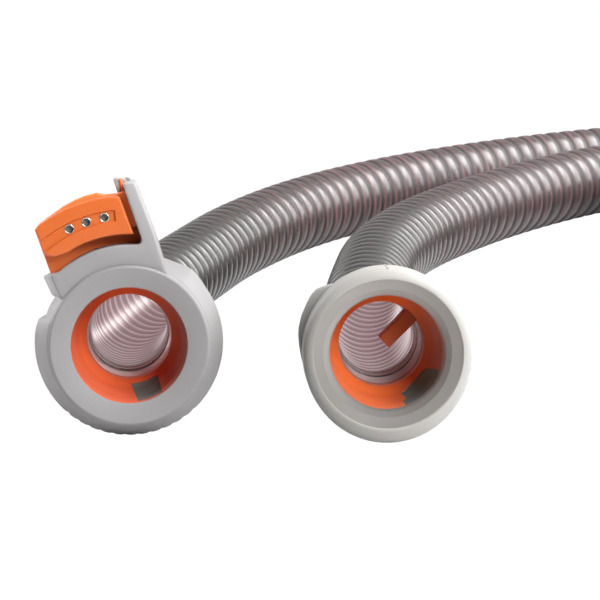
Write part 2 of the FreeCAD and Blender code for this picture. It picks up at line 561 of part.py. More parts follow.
MACHINE_ROUTE = [
    (-27.1, 42.2, 9.5), (-24.1, 57.5, 9.5), (-17.4, 78.3, 9.5), (-7.5, 109.4, 9.5), (10.8, 143.1, 9.5),
    (39.2, 174.2, 9.5), (79.2, 203.1, 9.5), (119.2, 222.2, 9.5), (142.8, 228.7, 9.5), (166.8, 228.7, 9.5)]
MASK_ROUTE = [
    (23.2, 38.2, 9.5), (23.5, 51.5, 9.5), (25.2, 66.7, 9.5), (27.8, 88.0, 9.5), (39.5, 118.9, 9.5),
    (70.6, 162.4, 9.5), (109.2, 197.3, 9.5), (140.8, 208.7, 9.5), (166.8, 208.7, 9.5)]
machine_points = [exit_point(MACHINE, D["seat_end"].v), exit_point(MACHINE, D["relief_end"].v + 7.0)] + MACHINE_ROUTE
mask_points = [exit_point(MASK, D["seat_end"].v + 1.0), exit_point(MASK, D["relief_end"].v + 6.0)] + MASK_ROUTE
# The length that isn't spread out is wound double: both strands go in side by side, the machine end's in the outer
# lane, and they meet in an S across the middle. One closed solid stands for the coil's outer shape.
coil = new_body("Coil")
c, half = D["coil_radius"], D["hose_radius"]
import Sketcher
disc = coil.newObject("Sketcher::SketchObject", "coil_section")
disc.AttachmentSupport = [(plane(coil, "XZ_Plane"), "")]
disc.MapMode = "FlatFace"
disc.addGeometry(Part.LineSegment(Vector(0, 0, 0), Vector(c.v, 0, 0)), False)
disc.addGeometry(Part.Arc(Vector(c.v, 0, 0), Vector(c.v + half.v, half.v, 0), Vector(c.v, 2 * half.v, 0)), False)
disc.addGeometry(Part.LineSegment(Vector(c.v, 2 * half.v, 0), Vector(0, 2 * half.v, 0)), False)
disc.addGeometry(Part.LineSegment(Vector(0, 2 * half.v, 0), Vector(0, 0, 0)), False)
for one in (Sketcher.Constraint("Coincident", 0, 2, 1, 1), Sketcher.Constraint("Coincident", 1, 2, 2, 1),
            Sketcher.Constraint("Coincident", 2, 2, 3, 1), Sketcher.Constraint("Coincident", 3, 2, 0, 1),
            Sketcher.Constraint("Coincident", 0, 1, -1, 1), Sketcher.Constraint("Horizontal", 0),
            Sketcher.Constraint("Horizontal", 2), Sketcher.Constraint("Vertical", 3)):
    disc.addConstraint(one)
for kind, geo, pos, q in (("DistanceX", 1, 3, c), ("DistanceY", 1, 3, half)):
    index = disc.addConstraint(Sketcher.Constraint(kind, -1, 1, geo, pos, q.v))
    disc.setExpression("Constraints[%d]" % index, q.e)
index = disc.addConstraint(Sketcher.Constraint("DistanceX", -1, 1, 0, 2, c.v))
disc.setExpression("Constraints[%d]" % index, c.e)
ring = coil.newObject("PartDesign::Revolution", "CoilDisc")
ring.Profile = disc
ring.ReferenceAxis = (disc, ["V_Axis"])
ring.Angle = 360.0
doc.recompute()
entry = polygon(coil, "entry_outline", "XY_Plane", [
    (-D["entry_length"], D["coil_inner_radius"] - half), (0, D["coil_inner_radius"] - half), (0, c + half),
    (-D["entry_length"], c + half)])
strands = coil.newObject("PartDesign::Pad", "CoilEntry")
strands.Profile = entry
strands.Type = 0
strands.Length = 2 * half.v
strands.setExpression("Length", (half * 2).e)
doc.recompute()
coil_place = Placement(Vector(D["coil_x"].v, D["coil_y"].v, 0), Rotation())
keep(coil, "hose_coil", coil_place)
doc.recompute()

report = []
for label, points in (("hose_run_machine_end", machine_points), ("hose_run_mask_end", mask_points)):
    solid, length, radii, section = pipe(points, D["hose_radius"].v, D["hose_bore_radius"].v)
    report.append((label, length, solid.Volume / (section * length), min(radii), radii))
    keep(soft_feature(label.title().replace("_", ""), solid), label, Placement())
doc.recompute()

# ================================================================ checks and files
for obj in doc.Objects:
    if "Invalid" in obj.State or "Error" in obj.State:
        raise RuntimeError("%s (%s) failed: %s" % (obj.Name, obj.Label, obj.State))
low, high = [1e9] * 3, [-1e9] * 3
for label, obj in pieces:
    shape = obj.Shape
    if shape.isNull() or not shape.isValid() or not shape.Solids:
        raise RuntimeError("%s has no valid solid" % label)
    bb = shape.optimalBoundingBox(False, False)
    if not label.startswith("hose_"):
        low = [min(a, b) for a, b in zip(low, (bb.XMin, bb.YMin, bb.ZMin))]
        high = [max(a, b) for a, b in zip(high, (bb.XMax, bb.YMax, bb.ZMax))]
    print("%-26s solids %d volume %9.1f mm3  x %7.1f..%6.1f y %7.1f..%6.1f z %6.2f..%5.1f" % (
        label, len(shape.Solids), shape.Volume, bb.XMin, bb.XMax, bb.YMin, bb.YMax, bb.ZMin, bb.ZMax))
    shape.exportStep("parts/%s.step" % label)
print("cuffs' box", [round(v, 3) for v in low], [round(v, 3) for v in high])
for label, length, ratio, least, radii in report:
    print("%s path %.1f mm, volume over section times length %.4f, least radius %.1f mm, radii %s" % (
        label, length, ratio, least, [round(r) for r in radii]))
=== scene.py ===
import math
import bpy
import bmesh
import numpy as np
from mathutils import Matrix, Vector


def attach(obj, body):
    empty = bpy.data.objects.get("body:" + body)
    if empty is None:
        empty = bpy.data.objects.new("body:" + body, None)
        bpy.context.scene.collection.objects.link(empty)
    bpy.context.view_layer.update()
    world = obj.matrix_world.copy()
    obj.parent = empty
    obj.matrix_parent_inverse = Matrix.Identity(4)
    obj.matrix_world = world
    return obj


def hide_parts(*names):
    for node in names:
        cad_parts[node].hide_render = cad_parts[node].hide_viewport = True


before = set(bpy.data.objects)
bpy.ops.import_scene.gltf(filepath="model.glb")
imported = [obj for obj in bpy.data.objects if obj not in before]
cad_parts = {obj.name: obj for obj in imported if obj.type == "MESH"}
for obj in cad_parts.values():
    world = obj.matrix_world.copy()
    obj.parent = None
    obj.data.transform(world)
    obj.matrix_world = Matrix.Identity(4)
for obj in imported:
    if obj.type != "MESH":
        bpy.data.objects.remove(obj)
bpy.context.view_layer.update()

MM = 0.001
rad = math.radians


# ---------------------------------------------------------------- camera
lens = bpy.data.cameras.new("main_camera")
lens.sensor_width = 36.0
lens.lens = 120.89
lens.clip_start = 0.02
lens.clip_end = 20.0
camera = bpy.data.objects.new("main_camera", lens)
camera.location = (0.00884, -0.37983, 0.12618)
camera.rotation_euler = (rad(90.0) - 0.26418, 0.0, 0.0)
bpy.context.scene.collection.objects.link(camera)
bpy.context.scene.camera = camera
bpy.context.scene.view_settings.view_transform = "Standard"


# ---------------------------------------------------------------- where the cuffs lie
def lay(x, y, z, yaw, tilt, roll):
    """Millimetres in a cuff's own frame (mouth at the origin, +Y into the hose) to metres in the row frame."""
    return (Matrix.Translation((x * MM, y * MM, z * MM)) @ Matrix.Rotation(rad(yaw), 4, "Z")
            @ Matrix.Rotation(rad(tilt), 4, "X") @ Matrix.Rotation(rad(roll), 4, "Y") @ Matrix.Scale(MM, 4))


MACHINE = lay(-23.27, -16.16, 18.826, 5.0, -9.5, -20.0)
MASK = lay(25.40, -18.72, 17.86, 2.34, -9.4, 45.0)


# ---------------------------------------------------------------- materials
class Nodes:
    """A small node-tree writer."""

    def __init__(self, name):
        self.material = bpy.data.materials.new(name)
        self.material.use_nodes = True
        self.tree = self.material.node_tree
        self.tree.nodes.clear()
        self.out = self.add("ShaderNodeOutputMaterial")
        self.where = self.add("ShaderNodeTexCoord").outputs["Object"]

    def add(self, kind, **settings):
        node = self.tree.nodes.new(kind)
        for key, value in settings.items():
            setattr(node, key, value)
        return node

    def put(self, socket, value):
        if isinstance(value, bpy.types.NodeSocket):
            self.tree.links.new(value, socket)
        elif isinstance(value, (tuple, list)) and len(value) == 3 and socket.type == "RGBA":
            socket.default_value = (*value, 1.0)
        else:
            socket.default_value = value

    def noise(self, scale, detail=3.0, rough=0.5, where=None):
        node = self.add("ShaderNodeTexNoise")
        self.put(node.inputs["Vector"], where or self.where)
        self.put(node.inputs["Scale"], scale)
        self.put(node.inputs["Detail"], detail)
        self.put(node.inputs["Roughness"], rough)
        return node.outputs["Fac"]

    def stretch(self, value, low, high, to_low=0.0, to_high=1.0):
        node = self.add("ShaderNodeMapRange")
        node.clamp = True
        self.put(node.inputs["Value"], value)
        for key, number in (("From Min", low), ("From Max", high), ("To Min", to_low), ("To Max", to_high)):
            self.put(node.inputs[key], number)
        return node.outputs["Result"]

    def math(self, operation, a, b=0.0):
        node = self.add("ShaderNodeMath", operation=operation)
        self.put(node.inputs[0], a)
        self.put(node.inputs[1], b)
        return node.outputs[0]

    def mix(self, fac, a, b):
        node = self.add("ShaderNodeMix", data_type="RGBA")
        self.put(node.inputs["Factor"], fac)
        self.put(node.inputs[6], a)
        self.put(node.inputs[7], b)
        return node.outputs[2]

    def bump(self, height, strength, distance, normal=None):
        node = self.add("ShaderNodeBump")
        self.put(node.inputs["Height"], height)
        self.put(node.inputs["Strength"], strength)
        self.put(node.inputs["Distance"], distance)
        if normal is not None:
            self.put(node.inputs["Normal"], normal)
        return node.outputs["Normal"]

    def across(self, direction, centre, low, high):
        """0 to 1 along a fixed direction, from low to high millimetres past a point of the object."""
        node = self.add("ShaderNodeVectorMath", operation="DOT_PRODUCT")
        self.put(node.inputs[0], self.where)
        self.put(node.inputs[1], direction)
        start = Vector(direction).dot(centre)
        return self.stretch(node.outputs["Value"], start + low * MM, start + high * MM)

    def attribute(self, name):
        return self.add("ShaderNodeAttribute", attribute_name=name).outputs["Fac"]

    def surface(self, **values):
        shader = self.add("ShaderNodeBsdfPrincipled")
        for key, value in values.items():
            self.put(shader.inputs[key.replace("_", " ")], value)
        self.put(self.out.inputs["Surface"], shader.outputs[0])
        return shader


def moulded(name, colour, darker, rough=0.45, grain=0.00002, cloud=90.0, speck=2600.0, spec=0.4, soft=0.0, tint=None,
             painted_shading=None):
    """Moulded plastic or rubber: faint cloudy tone, a fine eroded mould texture and uneven gloss. The optional gradient
    blends the tone towards another colour along one direction: painted shade or painted light.
    """
    n = Nodes(name)
    cloudy = n.stretch(n.noise(cloud, 4.0, 0.55), 0.3, 0.7)
    fine = n.noise(speck, 3.0, 0.6)
    base = n.mix(n.math("MULTIPLY", cloudy, 0.55), colour, darker)
    base = n.mix(n.stretch(fine, 0.35, 0.75, 0.0, 0.16), base, darker)
    # Gradient along one direction towards another tone: painted shade or painted light, not the material's colour.
    if painted_shading:
        side, centre, low, high, amount, tone = painted_shading
        base = n.mix(n.math("MULTIPLY", n.across(side, centre, low, high), amount), base, tone)
    gloss = n.math("ADD", n.stretch(n.noise(cloud * 3.1, 3.0), 0.3, 0.7, -0.05, 0.05), rough)
    relief = n.bump(fine, 0.5, grain, n.bump(n.noise(speck * 0.22, 2.0), 0.35, grain * 2.2))
    values = dict(Base_Color=base, Roughness=gloss, Normal=relief, Specular_IOR_Level=spec)
    if soft:
        values.update(Subsurface_Weight=soft, Subsurface_Radius=tint or (1.0, 0.9, 0.85), Subsurface_Scale=0.0012)
    n.surface(**values)
    return n.material


LEFT_AXIS, RIGHT_AXIS = MACHINE @ Vector((0.0, 8.0, 0.0)), MASK @ Vector((0.0, 8.0, 0.0))
# Cover rubber, darkened over the cuff's right flank: painted shade.
GREY = moulded("cuff_rubber", (0.240, 0.231, 0.233), (0.215, 0.207, 0.208), rough=0.48, grain=0.000014, spec=0.3, soft=0.06,
               painted_shading=((1.0, 0.0, 0.0), LEFT_AXIS, 15.6, 17.6, 0.8, (0.175, 0.168, 0.168)))
# A copy of the cover's rubber for the band and arm, lighter towards the arm's top: painted light.
GREY_ARM_PAINTED_LIGHT = moulded("arm_rubber_painted_light", (0.250, 0.240, 0.243), (0.225, 0.217, 0.219), rough=0.48, grain=0.000014, spec=0.3, soft=0.06,
                   painted_shading=((0.35, 0.0, 0.94), LEFT_AXIS, 15.0, 29.0, 0.9, (0.335, 0.325, 0.330)))
# Mask cuff rubber, darkened towards its left side: painted shade.
GREY_MASK = moulded("mask_cuff_rubber", (0.405, 0.394, 0.377), (0.368, 0.357, 0.340), rough=0.5, grain=0.000014, spec=0.3,
                    soft=0.08, painted_shading=((-0.95, 0.0, -0.25), RIGHT_AXIS, -8.0, 14.0, 0.95, (0.220, 0.213, 0.203)))
# Darker copies of the mask cuff's rubber for its funnel, darker still towards the bottom: painted shade in the recess.
FUNNEL_PAINTED_SHADE = moulded("funnel_rubber_painted_shade", (0.310, 0.300, 0.286), (0.28, 0.27, 0.256), rough=0.52, grain=0.000014, spec=0.25,
                 soft=0.05, painted_shading=((-0.45, 0.0, -0.90), RIGHT_AXIS, -9.0, 11.0, 0.95, (0.155, 0.148, 0.140)))
FUNNEL_FOOT_PAINTED_SHADE = moulded("funnel_foot_painted_shade", (0.315, 0.302, 0.288), (0.285, 0.273, 0.259), rough=0.55, grain=0.000014, spec=0.2,
                      painted_shading=((0.1, 0.0, -0.99), RIGHT_AXIS, -8.0, 10.0, 0.95, (0.140, 0.135, 0.128)))
SLEEVE = moulded("sleeve_rubber", (0.30, 0.29, 0.28), (0.24, 0.232, 0.222), rough=0.5, grain=0.00002)
# The lock key is the cover's grey rubber seen in its slot; this darker tone is painted shade.
KEY_PAINTED_SHADE = moulded("lock_key_painted_shade", (0.128, 0.160, 0.152), (0.098, 0.122, 0.116), rough=0.55, grain=0.00002, spec=0.25)
# Dark bands between the hose's last turns: painted shadow in the gaps.
GAP_SHADOW = moulded("hose_end_gap_shadow", (0.045, 0.042, 0.04), (0.03, 0.028, 0.027), rough=0.35, grain=0.00001)
ORANGE = moulded("plug_orange", (0.54, 0.116, 0.022), (0.495, 0.102, 0.019), rough=0.36, grain=0.000008, spec=0.4,
                 soft=0.1, tint=(1.0, 0.35, 0.1))
# The housing's orange, made lighter where it floors the shaded moat: painted light.
PLATE_PAINTED_LIGHT = moulded("plate_orange_painted_light", (0.84, 0.190, 0.050), (0.77, 0.168, 0.044), rough=0.4, grain=0.000008, spec=0.3)
# Bore orange, darkened towards the right-hand wall: painted shade.
ORANGE_BORE = moulded("bore_orange", (0.65, 0.116, 0.038), (0.595, 0.103, 0.034), rough=0.42, grain=0.000006, spec=0.22,
                      painted_shading=((0.97, 0.0, 0.10), LEFT_AXIS, 1.0, 11.2, 0.80, (0.20, 0.125, 0.100)))
ORANGE_MASK = moulded("mask_bore_orange", (0.68, 0.145, 0.038), (0.62, 0.128, 0.034), rough=0.42, grain=0.000006, spec=0.22,
                      painted_shading=((0.97, 0.0, -0.05), RIGHT_AXIS, 2.0, 11.0, 0.80, (0.20, 0.105, 0.085)))
# Sensor blade orange, darker than the bore's and darker still towards the upper right: painted shade.
FIN_PAINTED_SHADE = moulded("sensor_blade_painted_shade", (0.43, 0.096, 0.030), (0.43, 0.098, 0.03), rough=0.4, grain=0.000006, spec=0.25,
              painted_shading=((0.7, 0.0, 0.7), RIGHT_AXIS, 2.5, 9.5, 0.7, (0.16, 0.060, 0.040)))
BOARD = moulded("board_laminate", (0.04, 0.17, 0.09), (0.03, 0.12, 0.07), rough=0.4, grain=0.00001, speck=5200.0)
# The mask end's lock key, in a darker tone that is painted shade.
KEY_MASK_PAINTED_SHADE = moulded("mask_key_painted_shade", (0.110, 0.200, 0.190), (0.085, 0.155, 0.148), rough=0.55, grain=0.00002, spec=0.25)
# A dark core in each contact socket's bore: painted shade in the hole.
THROAT_PAINTED_SHADE = moulded("contact_throat_painted_shade", (0.115, 0.125, 0.105), (0.08, 0.085, 0.072), rough=0.4, speck=6000.0)
CHIP = moulded("chip_black", (0.03, 0.03, 0.032), (0.02, 0.02, 0.02), rough=0.5, speck=6000.0)


def metal(name, colour, dull, rough=0.22):
    n = Nodes(name)
    brushed = n.noise(3800.0, 4.0, 0.7)
    tarnish = n.stretch(n.noise(900.0, 4.0), 0.45, 0.7)
    n.surface(Base_Color=n.mix(tarnish, colour, dull), Metallic=1.0,
              Roughness=n.stretch(brushed, 0.3, 0.7, rough - 0.06, rough + 0.1),
              Normal=n.bump(brushed, 0.4, 0.00001))
    return n.material


TIN = metal("tinned_contact", (0.86, 0.83, 0.78), (0.66, 0.62, 0.56), 0.2)
COPPER = metal("enamelled_copper", (0.80, 0.36, 0.20), (0.60, 0.24, 0.13), 0.26)


def clear_ring(name, light, dark, painted_glow):
    """Clear, slightly pink moulded ring, shown as a glossy milky body. Its emission is painted light through the clear
    plastic.
    """
    n = Nodes(name)
    cloudy = n.stretch(n.noise(260.0, 4.0), 0.3, 0.7)
    base = n.mix(cloudy, light, dark)
    n.surface(Base_Color=base, Roughness=0.18, Specular_IOR_Level=0.6, Coat_Weight=0.5, Coat_Roughness=0.08,
              Emission_Color=base, Emission_Strength=painted_glow,
              Normal=n.bump(n.noise(1500.0, 2.0), 0.3, 0.00002))
    return n.material


def glass_bead():
    n = Nodes("sensor_glass")
    tone = n.mix(n.stretch(n.noise(2500.0, 2.0), 0.3, 0.7), (0.35, 0.22, 0.16), (0.22, 0.12, 0.09))
    n.surface(Base_Color=tone, Roughness=0.08, Specular_IOR_Level=0.7, Coat_Weight=0.6)
    return n.material


def hose_outside():
    """Glossy grey beads with a pinkish skin, and the darker film between the turns."""
    n = Nodes("hose_film")
    bead = n.attribute("bead")
    edge = n.attribute("edge")
    streak = n.noise(420.0, 3.0, 0.6)
    rosy = n.attribute("rosy")
    ridge = n.mix(rosy, (0.036, 0.033, 0.030), (0.048, 0.036, 0.037))
    ridge = n.mix(n.stretch(streak, 0.3, 0.7, 0.0, 0.2), ridge, (0.026, 0.023, 0.022))
    film = n.mix(rosy, (0.009, 0.008, 0.008), (0.024, 0.017, 0.018))
    film = n.mix(n.stretch(streak, 0.35, 0.65, 0.0, 0.35), film, (0.014, 0.012, 0.012))
    body = n.mix(bead, film, ridge)
    blush = n.math("MULTIPLY", edge, n.stretch(n.noise(130.0, 2.0), 0.38, 0.62, 0.12, 0.46))
    body = n.mix(blush, body, (0.27, 0.115, 0.125))
    gloss = n.math("ADD", n.stretch(n.noise(300.0, 2.0), 0.3, 0.7, -0.01, 0.02), n.stretch(bead, 0.0, 1.0, 0.46, 0.22))
    gloss = n.math("ADD", gloss, n.stretch(rosy, 0.0, 1.0, 0.0, 0.07))
    n.surface(Base_Color=body, Roughness=gloss, Specular_IOR_Level=0.5,
              Normal=n.bump(n.noise(900.0, 2.0), 0.02, 0.00002))
    return n.material


def hose_inside():
    """The same film from within. Its emission is painted light: a glow on the side that the lamps reach, standing in
    for daylight through the film, with painted reflections of the lamp.
    """
    n = Nodes("hose_lining")
    bead = n.attribute("bead")
    painted_glow = n.attribute("painted_glow")
    body = n.mix(bead, (0.21, 0.127, 0.137), (0.42, 0.325, 0.338))
    body = n.mix(n.stretch(n.noise(300.0, 3.0), 0.3, 0.7, 0.0, 0.25), body, (0.25, 0.178, 0.187))
    shader = n.surface(Base_Color=body, Roughness=0.25, Specular_IOR_Level=0.9,
                       Normal=n.bump(n.noise(1500.0, 2.0), 0.15, 0.00002))
    light = n.mix(bead, (0.62, 0.41, 0.43), (0.95, 0.84, 0.86))
    light = n.mix(n.math("MULTIPLY", painted_glow, 0.7), light, (1.0, 0.97, 0.97))
    # Emission is painted light: a glow through the film and painted reflections of the lamp.
    n.put(shader.inputs["Emission Color"], light)
    n.put(shader.inputs["Emission Strength"], n.math("ADD", n.math("MULTIPLY", painted_glow, 0.75), 0.135))
    return n.material


# The hose's own pale turns behind the collar, lightened further: painted highlight.
LINING_END_PAINTED_HIGHLIGHT = moulded("hose_end_turns_painted_highlight", (0.66, 0.58, 0.585), (0.50, 0.43, 0.435), rough=0.22, grain=0.00001, spec=0.6)
CLEAR_PAINTED_GLOW = clear_ring("clear_ring", (0.72, 0.43, 0.39), (0.56, 0.32, 0.29), 0.05)
# The mask end's clear ring, a darker copy without emission: painted shade.
CLEAR_MASK_PAINTED_SHADE = clear_ring("mask_clear_ring_painted_shade", (0.37, 0.165, 0.130), (0.26, 0.11, 0.088), 0.0)
GLASS = glass_bead()
HOSE, LINING = hose_outside(), hose_inside()


# ---------------------------------------------------------------- shape helpers, in millimetres
def soft(points, steps=5, closed=True):
    """A polyline whose corners (a, b, radius) are rounded."""
    out, n = [], len(points)
    for i, p in enumerate(points):
        r = p[2] if len(p) > 2 else 0.0
        if r <= 0 or (not closed and i in (0, n - 1)):
            out.append((p[0], p[1]))
            continue
        b = Vector(p[:2])
        u, w = Vector(points[i - 1][:2]) - b, Vector(points[(i + 1) % n][:2]) - b
        lu, lw = u.length, w.length
        u.normalize()
        w.normalize()
        half = u.angle(w) / 2
        if half > rad(89.0):
            out.append((p[0], p[1]))
            continue
        d = min(r / math.tan(half), 0.48 * lu, 0.48 * lw)
        centre = b + (u + w).normalized() * (d / math.cos(half))
        first, last = b + u * d - centre, b + w * d - centre
        a0, turn = math.atan2(first.y, first.x), first.angle_signed(last)
        for k in range(steps + 1):
            a = a0 - turn * k / steps
            out.append((centre.x + first.length * math.cos(a), centre.y + first.length * math.sin(a)))
    return out


def arc(r, a0, a1, n, centre=(0.0, 0.0)):
    """Points on a circle from angle a0 to a1, in degrees."""
    return [(centre[0] + r * math.cos(rad(a0 + (a1 - a0) * k / n)), centre[1] + r * math.sin(rad(a0 + (a1 - a0) * k / n)))
            for k in range(n + 1)]


def area(loop):
    return 0.5 * sum(a[0] * b[1] - b[0] * a[1] for a, b in zip(loop, loop[1:] + loop[:1]))


def inset(loop, d):
    """A closed loop moved inwards by d."""
    side = 1.0 if area(loop) > 0 else -1.0
    out, n = [], len(loop)
    for i in range(n):
        p0, p1, p2 = Vector(loop[i - 1]), Vector(loop[i]), Vector(loop[(i + 1) % n])
        e1, e2 = (p1 - p0), (p2 - p1)
        if e1.length < 1e-9 or e2.length < 1e-9:
            e1 = e2 = (p2 - p0)
        e1.normalize()
        e2.normalize()
        n1, n2 = Vector((-e1.y, e1.x)), Vector((-e2.y, e2.x))
        k = d * side / max(0.35, 1.0 + n1.dot(n2))
        q = p1 + (n1 + n2) * k
        out.append((q.x, q.y))
    return out


class Shape:
    """Gathers closed shells in one cuff's frame, then becomes one object."""

    def __init__(self):
        self.verts, self.faces, self.mats = [], [], []

    def add(self, verts, faces, mat=0):
        n = len(self.verts)
        self.verts += [tuple(v) for v in verts]
        self.faces += [tuple(i + n for i in f) for f in faces]
        self.mats += [mat] * len(faces)
        return self

    def lathe(self, profile, segs=240, radius=None, mat=0, depth=None):
        """profile is a closed loop of (radius, y). radius(angle, r, y) may reshape it."""
        verts, faces, n = [], [], len(profile)
        for j in range(segs):
            a = 2 * math.pi * j / segs
            c, s = math.cos(a), math.sin(a)
            for r, y in profile:
                rr = radius(math.degrees(a), r, y) if radius else r
                yy = depth(math.degrees(a), r, y) if depth else y
                verts.append((rr * c, yy, rr * s))
        for j in range(segs):
            k = (j + 1) % segs
            for i in range(n):
                m = (i + 1) % n
                faces.append((j * n + i, k * n + i, k * n + m, j * n + m))
        return self.add(verts, faces, mat)

    def loft(self, sections, mat=0):
        """Closed loops of equal length, capped at both ends."""
        n = len(sections[0])
        verts = [v for s in sections for v in s]
        faces = [tuple(range(n - 1, -1, -1)), tuple(range((len(sections) - 1) * n, len(sections) * n))]
        for j in range(len(sections) - 1):
            for i in range(n):
                k = (i + 1) % n
                faces.append((j * n + i, j * n + k, (j + 1) * n + k, (j + 1) * n + i))
        return self.add(verts, faces, mat)

    def prism(self, loop, y0, y1, front=0.3, back=0.2, back_loop=None, steps=4, mat=0, lean=None):
        """An outline in x, z run along y, with rounded front and back edges. back_loop is the outline at y1."""
        goal = back_loop or loop
        sections = []

        def at(y, d):
            t = (y - y0) / (y1 - y0)
            mid = [(a[0] + (b[0] - a[0]) * t, a[1] + (b[1] - a[1]) * t) for a, b in zip(loop, goal)]
            ring = inset(mid, d) if d > 1e-6 else mid
            sections.append([(x, y + (lean(x, z) if lean else 0.0), z) for x, z in ring])

        for k in range(steps + 1):
            a = math.pi / 2 * k / steps
            at(y0 + front * (1 - math.cos(a)), front * (1 - math.sin(a)))
        for k in range(steps + 1):
            a = math.pi / 2 * (1 - k / steps)
            at(y1 - back * (1 - math.cos(a)), back * (1 - math.sin(a)))
        return self.loft(sections, mat)

    def paint(self, test, mat):
        """Gives the faces whose middle passes test(radius, y) another material."""
        for k, face in enumerate(self.faces):
            r = sum(math.hypot(self.verts[i][0], self.verts[i][2]) for i in face) / len(face)
            y = sum(self.verts[i][1] for i in face) / len(face)
            if test(r, y):
                self.mats[k] = mat
        return self

    def ready(self, name, place, mats, angle=38.0):
        me = bpy.data.meshes.new(name)
        me.from_pydata([place @ Vector(v) for v in self.verts], [], self.faces)
        me.polygons.foreach_set("material_index", self.mats)
        for m in mats:
            me.materials.append(m)
        obj = bpy.data.objects.new(name, me)
        bpy.context.scene.collection.objects.link(obj)
        tidy(obj, angle)
        return obj


def tidy(obj, angle=38.0):
    bm = bmesh.new()
    bm.from_mesh(obj.data)
    bmesh.ops.remove_doubles(bm, verts=bm.verts, dist=1e-7)
    bmesh.ops.recalc_face_normals(bm, faces=bm.faces)
    bm.to_mesh(obj.data)
    bm.free()
    obj.data.shade_smooth()
    obj.data.set_sharp_from_angle(angle=rad(angle))


def carve(obj, cutter, keep=False):
    """Takes the cutter's shape away from obj, in the mesh itself."""
    mod = obj.modifiers.new("cut", "BOOLEAN")
    mod.operation = "INTERSECT" if keep else "DIFFERENCE"
    mod.solver = "EXACT"
    mod.object = cutter
    graph = bpy.context.evaluated_depsgraph_get()
    graph.update()
    me = bpy.data.meshes.new_from_object(obj.evaluated_get(graph), depsgraph=graph)
    old = obj.data
    obj.modifiers.clear()
    obj.data = me
    me.name = old.name
    bpy.data.meshes.remove(old)
    gone = cutter.data
    bpy.data.objects.remove(cutter)
    bpy.data.meshes.remove(gone)
    obj.data.shade_smooth()
    obj.data.set_sharp_from_angle(angle=rad(38.0))


def finish_piece(obj, slot, *nodes):
    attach(obj, "root")
    if nodes:
        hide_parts(*nodes)
    return obj


# ---------------------------------------------------------------- the hose
def on_axis(place, y):
    return tuple(place @ Vector((0.0, y, 0.0)))


MACHINE_ROUTE = [
    (-0.0271, 0.0422, 0.0095), (-0.0241, 0.0575, 0.0095), (-0.0174, 0.0783, 0.0095), (-0.0075, 0.1094, 0.0095),
    (0.0108, 0.1431, 0.0095), (0.0392, 0.1742, 0.0095), (0.0792, 0.2031, 0.0095), (0.1192, 0.2222, 0.0095),
    (0.1428, 0.2287, 0.0095), (0.1668, 0.2287, 0.0095)]
MASK_ROUTE = [
    (0.0232, 0.0382, 0.0095), (0.0235, 0.0515, 0.0095), (0.0252, 0.0667, 0.0095), (0.0278, 0.0880, 0.0095),
    (0.0395, 0.1189, 0.0095), (0.0706, 0.1624, 0.0095), (0.1092, 0.1973, 0.0095), (0.1408, 0.2087, 0.0095),
    (0.1668, 0.2087, 0.0095)]


def coil_points():
    """The put-away length, wound double: the machine end's strand outside, the mask end's inside, an S between."""
    cx, cy, outer, inner, z = 0.2148, 0.1137, 0.115, 0.095, 0.0095
    leave = 160.0

    def at(x, y, r, a):
        return (x + r * math.cos(rad(a)), y + r * math.sin(rad(a)), z)
    n = 13
    step = (90.0 - leave + 360.0) / n
    out = [(cx - outer * math.tan(rad(step / 2)), cy + outer, z)]
    out += [at(cx, cy, outer / math.cos(rad(step / 2)), 90.0 - step / 2 - step * k) for k in range(n)]
    r = (outer + inner) / 4
    ux, uy = math.cos(rad(leave)), math.sin(rad(leave))
    bend = 5
    half = 90.0 / bend
    ax, ay = cx + (outer - r) * ux, cy + (outer - r) * uy
    out += [at(ax, ay, r / math.cos(rad(half)), leave - half - 2 * half * k) for k in range(bend)]
    bx, by = cx - (inner - r) * ux, cy - (inner - r) * uy
    out += [at(bx, by, r / math.cos(rad(half)), leave + half + 2 * half * k) for k in range(bend)]
    m = 5
    step = (90.0 - (leave - 180.0)) / m
    out += [at(cx, cy, inner / math.cos(rad(step / 2)), leave - 180.0 + step / 2 + step * k) for k in range(m)]
    out.append((cx - inner * math.tan(rad(step / 2)), cy + inner, z))
    return out


ROUTE = ([on_axis(MACHINE, 27.0), on_axis(MACHINE, 43.0)] + MACHINE_ROUTE + coil_points() + MASK_ROUTE[::-1]
         + [on_axis(MASK, 42.0), on_axis(MASK, 28.0)])


def route_line():
    """The route's spline as closely spaced points, in metres."""
    curve = bpy.data.curves.new("hose_route", "CURVE")
    curve.dimensions = "3D"
    spline = curve.splines.new("NURBS")
    spline.points.add(len(ROUTE) - 1)
    for point, co in zip(spline.points, ROUTE):
        point.co = (*co, 1.0)
    spline.order_u = 3
    spline.use_endpoint_u = True
    spline.resolution_u = 24
    obj = bpy.data.objects.new("hose_route", curve)
    bpy.context.scene.collection.objects.link(obj)
    me = bpy.data.meshes.new_from_object(obj)
    co = np.empty(len(me.vertices) * 3)
    me.vertices.foreach_get("co", co)
    bpy.data.objects.remove(obj)
    bpy.data.curves.remove(curve)
    bpy.data.meshes.remove(me)
    line = co.reshape(-1, 3)
    keep = np.r_[True, np.linalg.norm(np.diff(line, axis=0), axis=1) > 1e-7]
    return line[keep]


LINE = route_line()
ALONG = np.r_[0.0, np.cumsum(np.linalg.norm(np.diff(LINE, axis=0), axis=1))]
TOTAL = float(ALONG[-1])
PITCH = 0.0044
# The turns lie closer near the cuffs and open out along the runs: distance from that end, pitch, in millimetres.
PITCH_MACHINE = [(0, 3.5), (68, 3.35), (82, 3.65), (95, 4.2), (150, 4.55), (205, 4.85), (245, 5.1), (330, 4.4)]
PITCH_MASK = [(0, 3.8), (80, 3.9), (108, 3.6), (128, 4.0), (148, 4.85), (190, 4.9), (280, 4.4)]


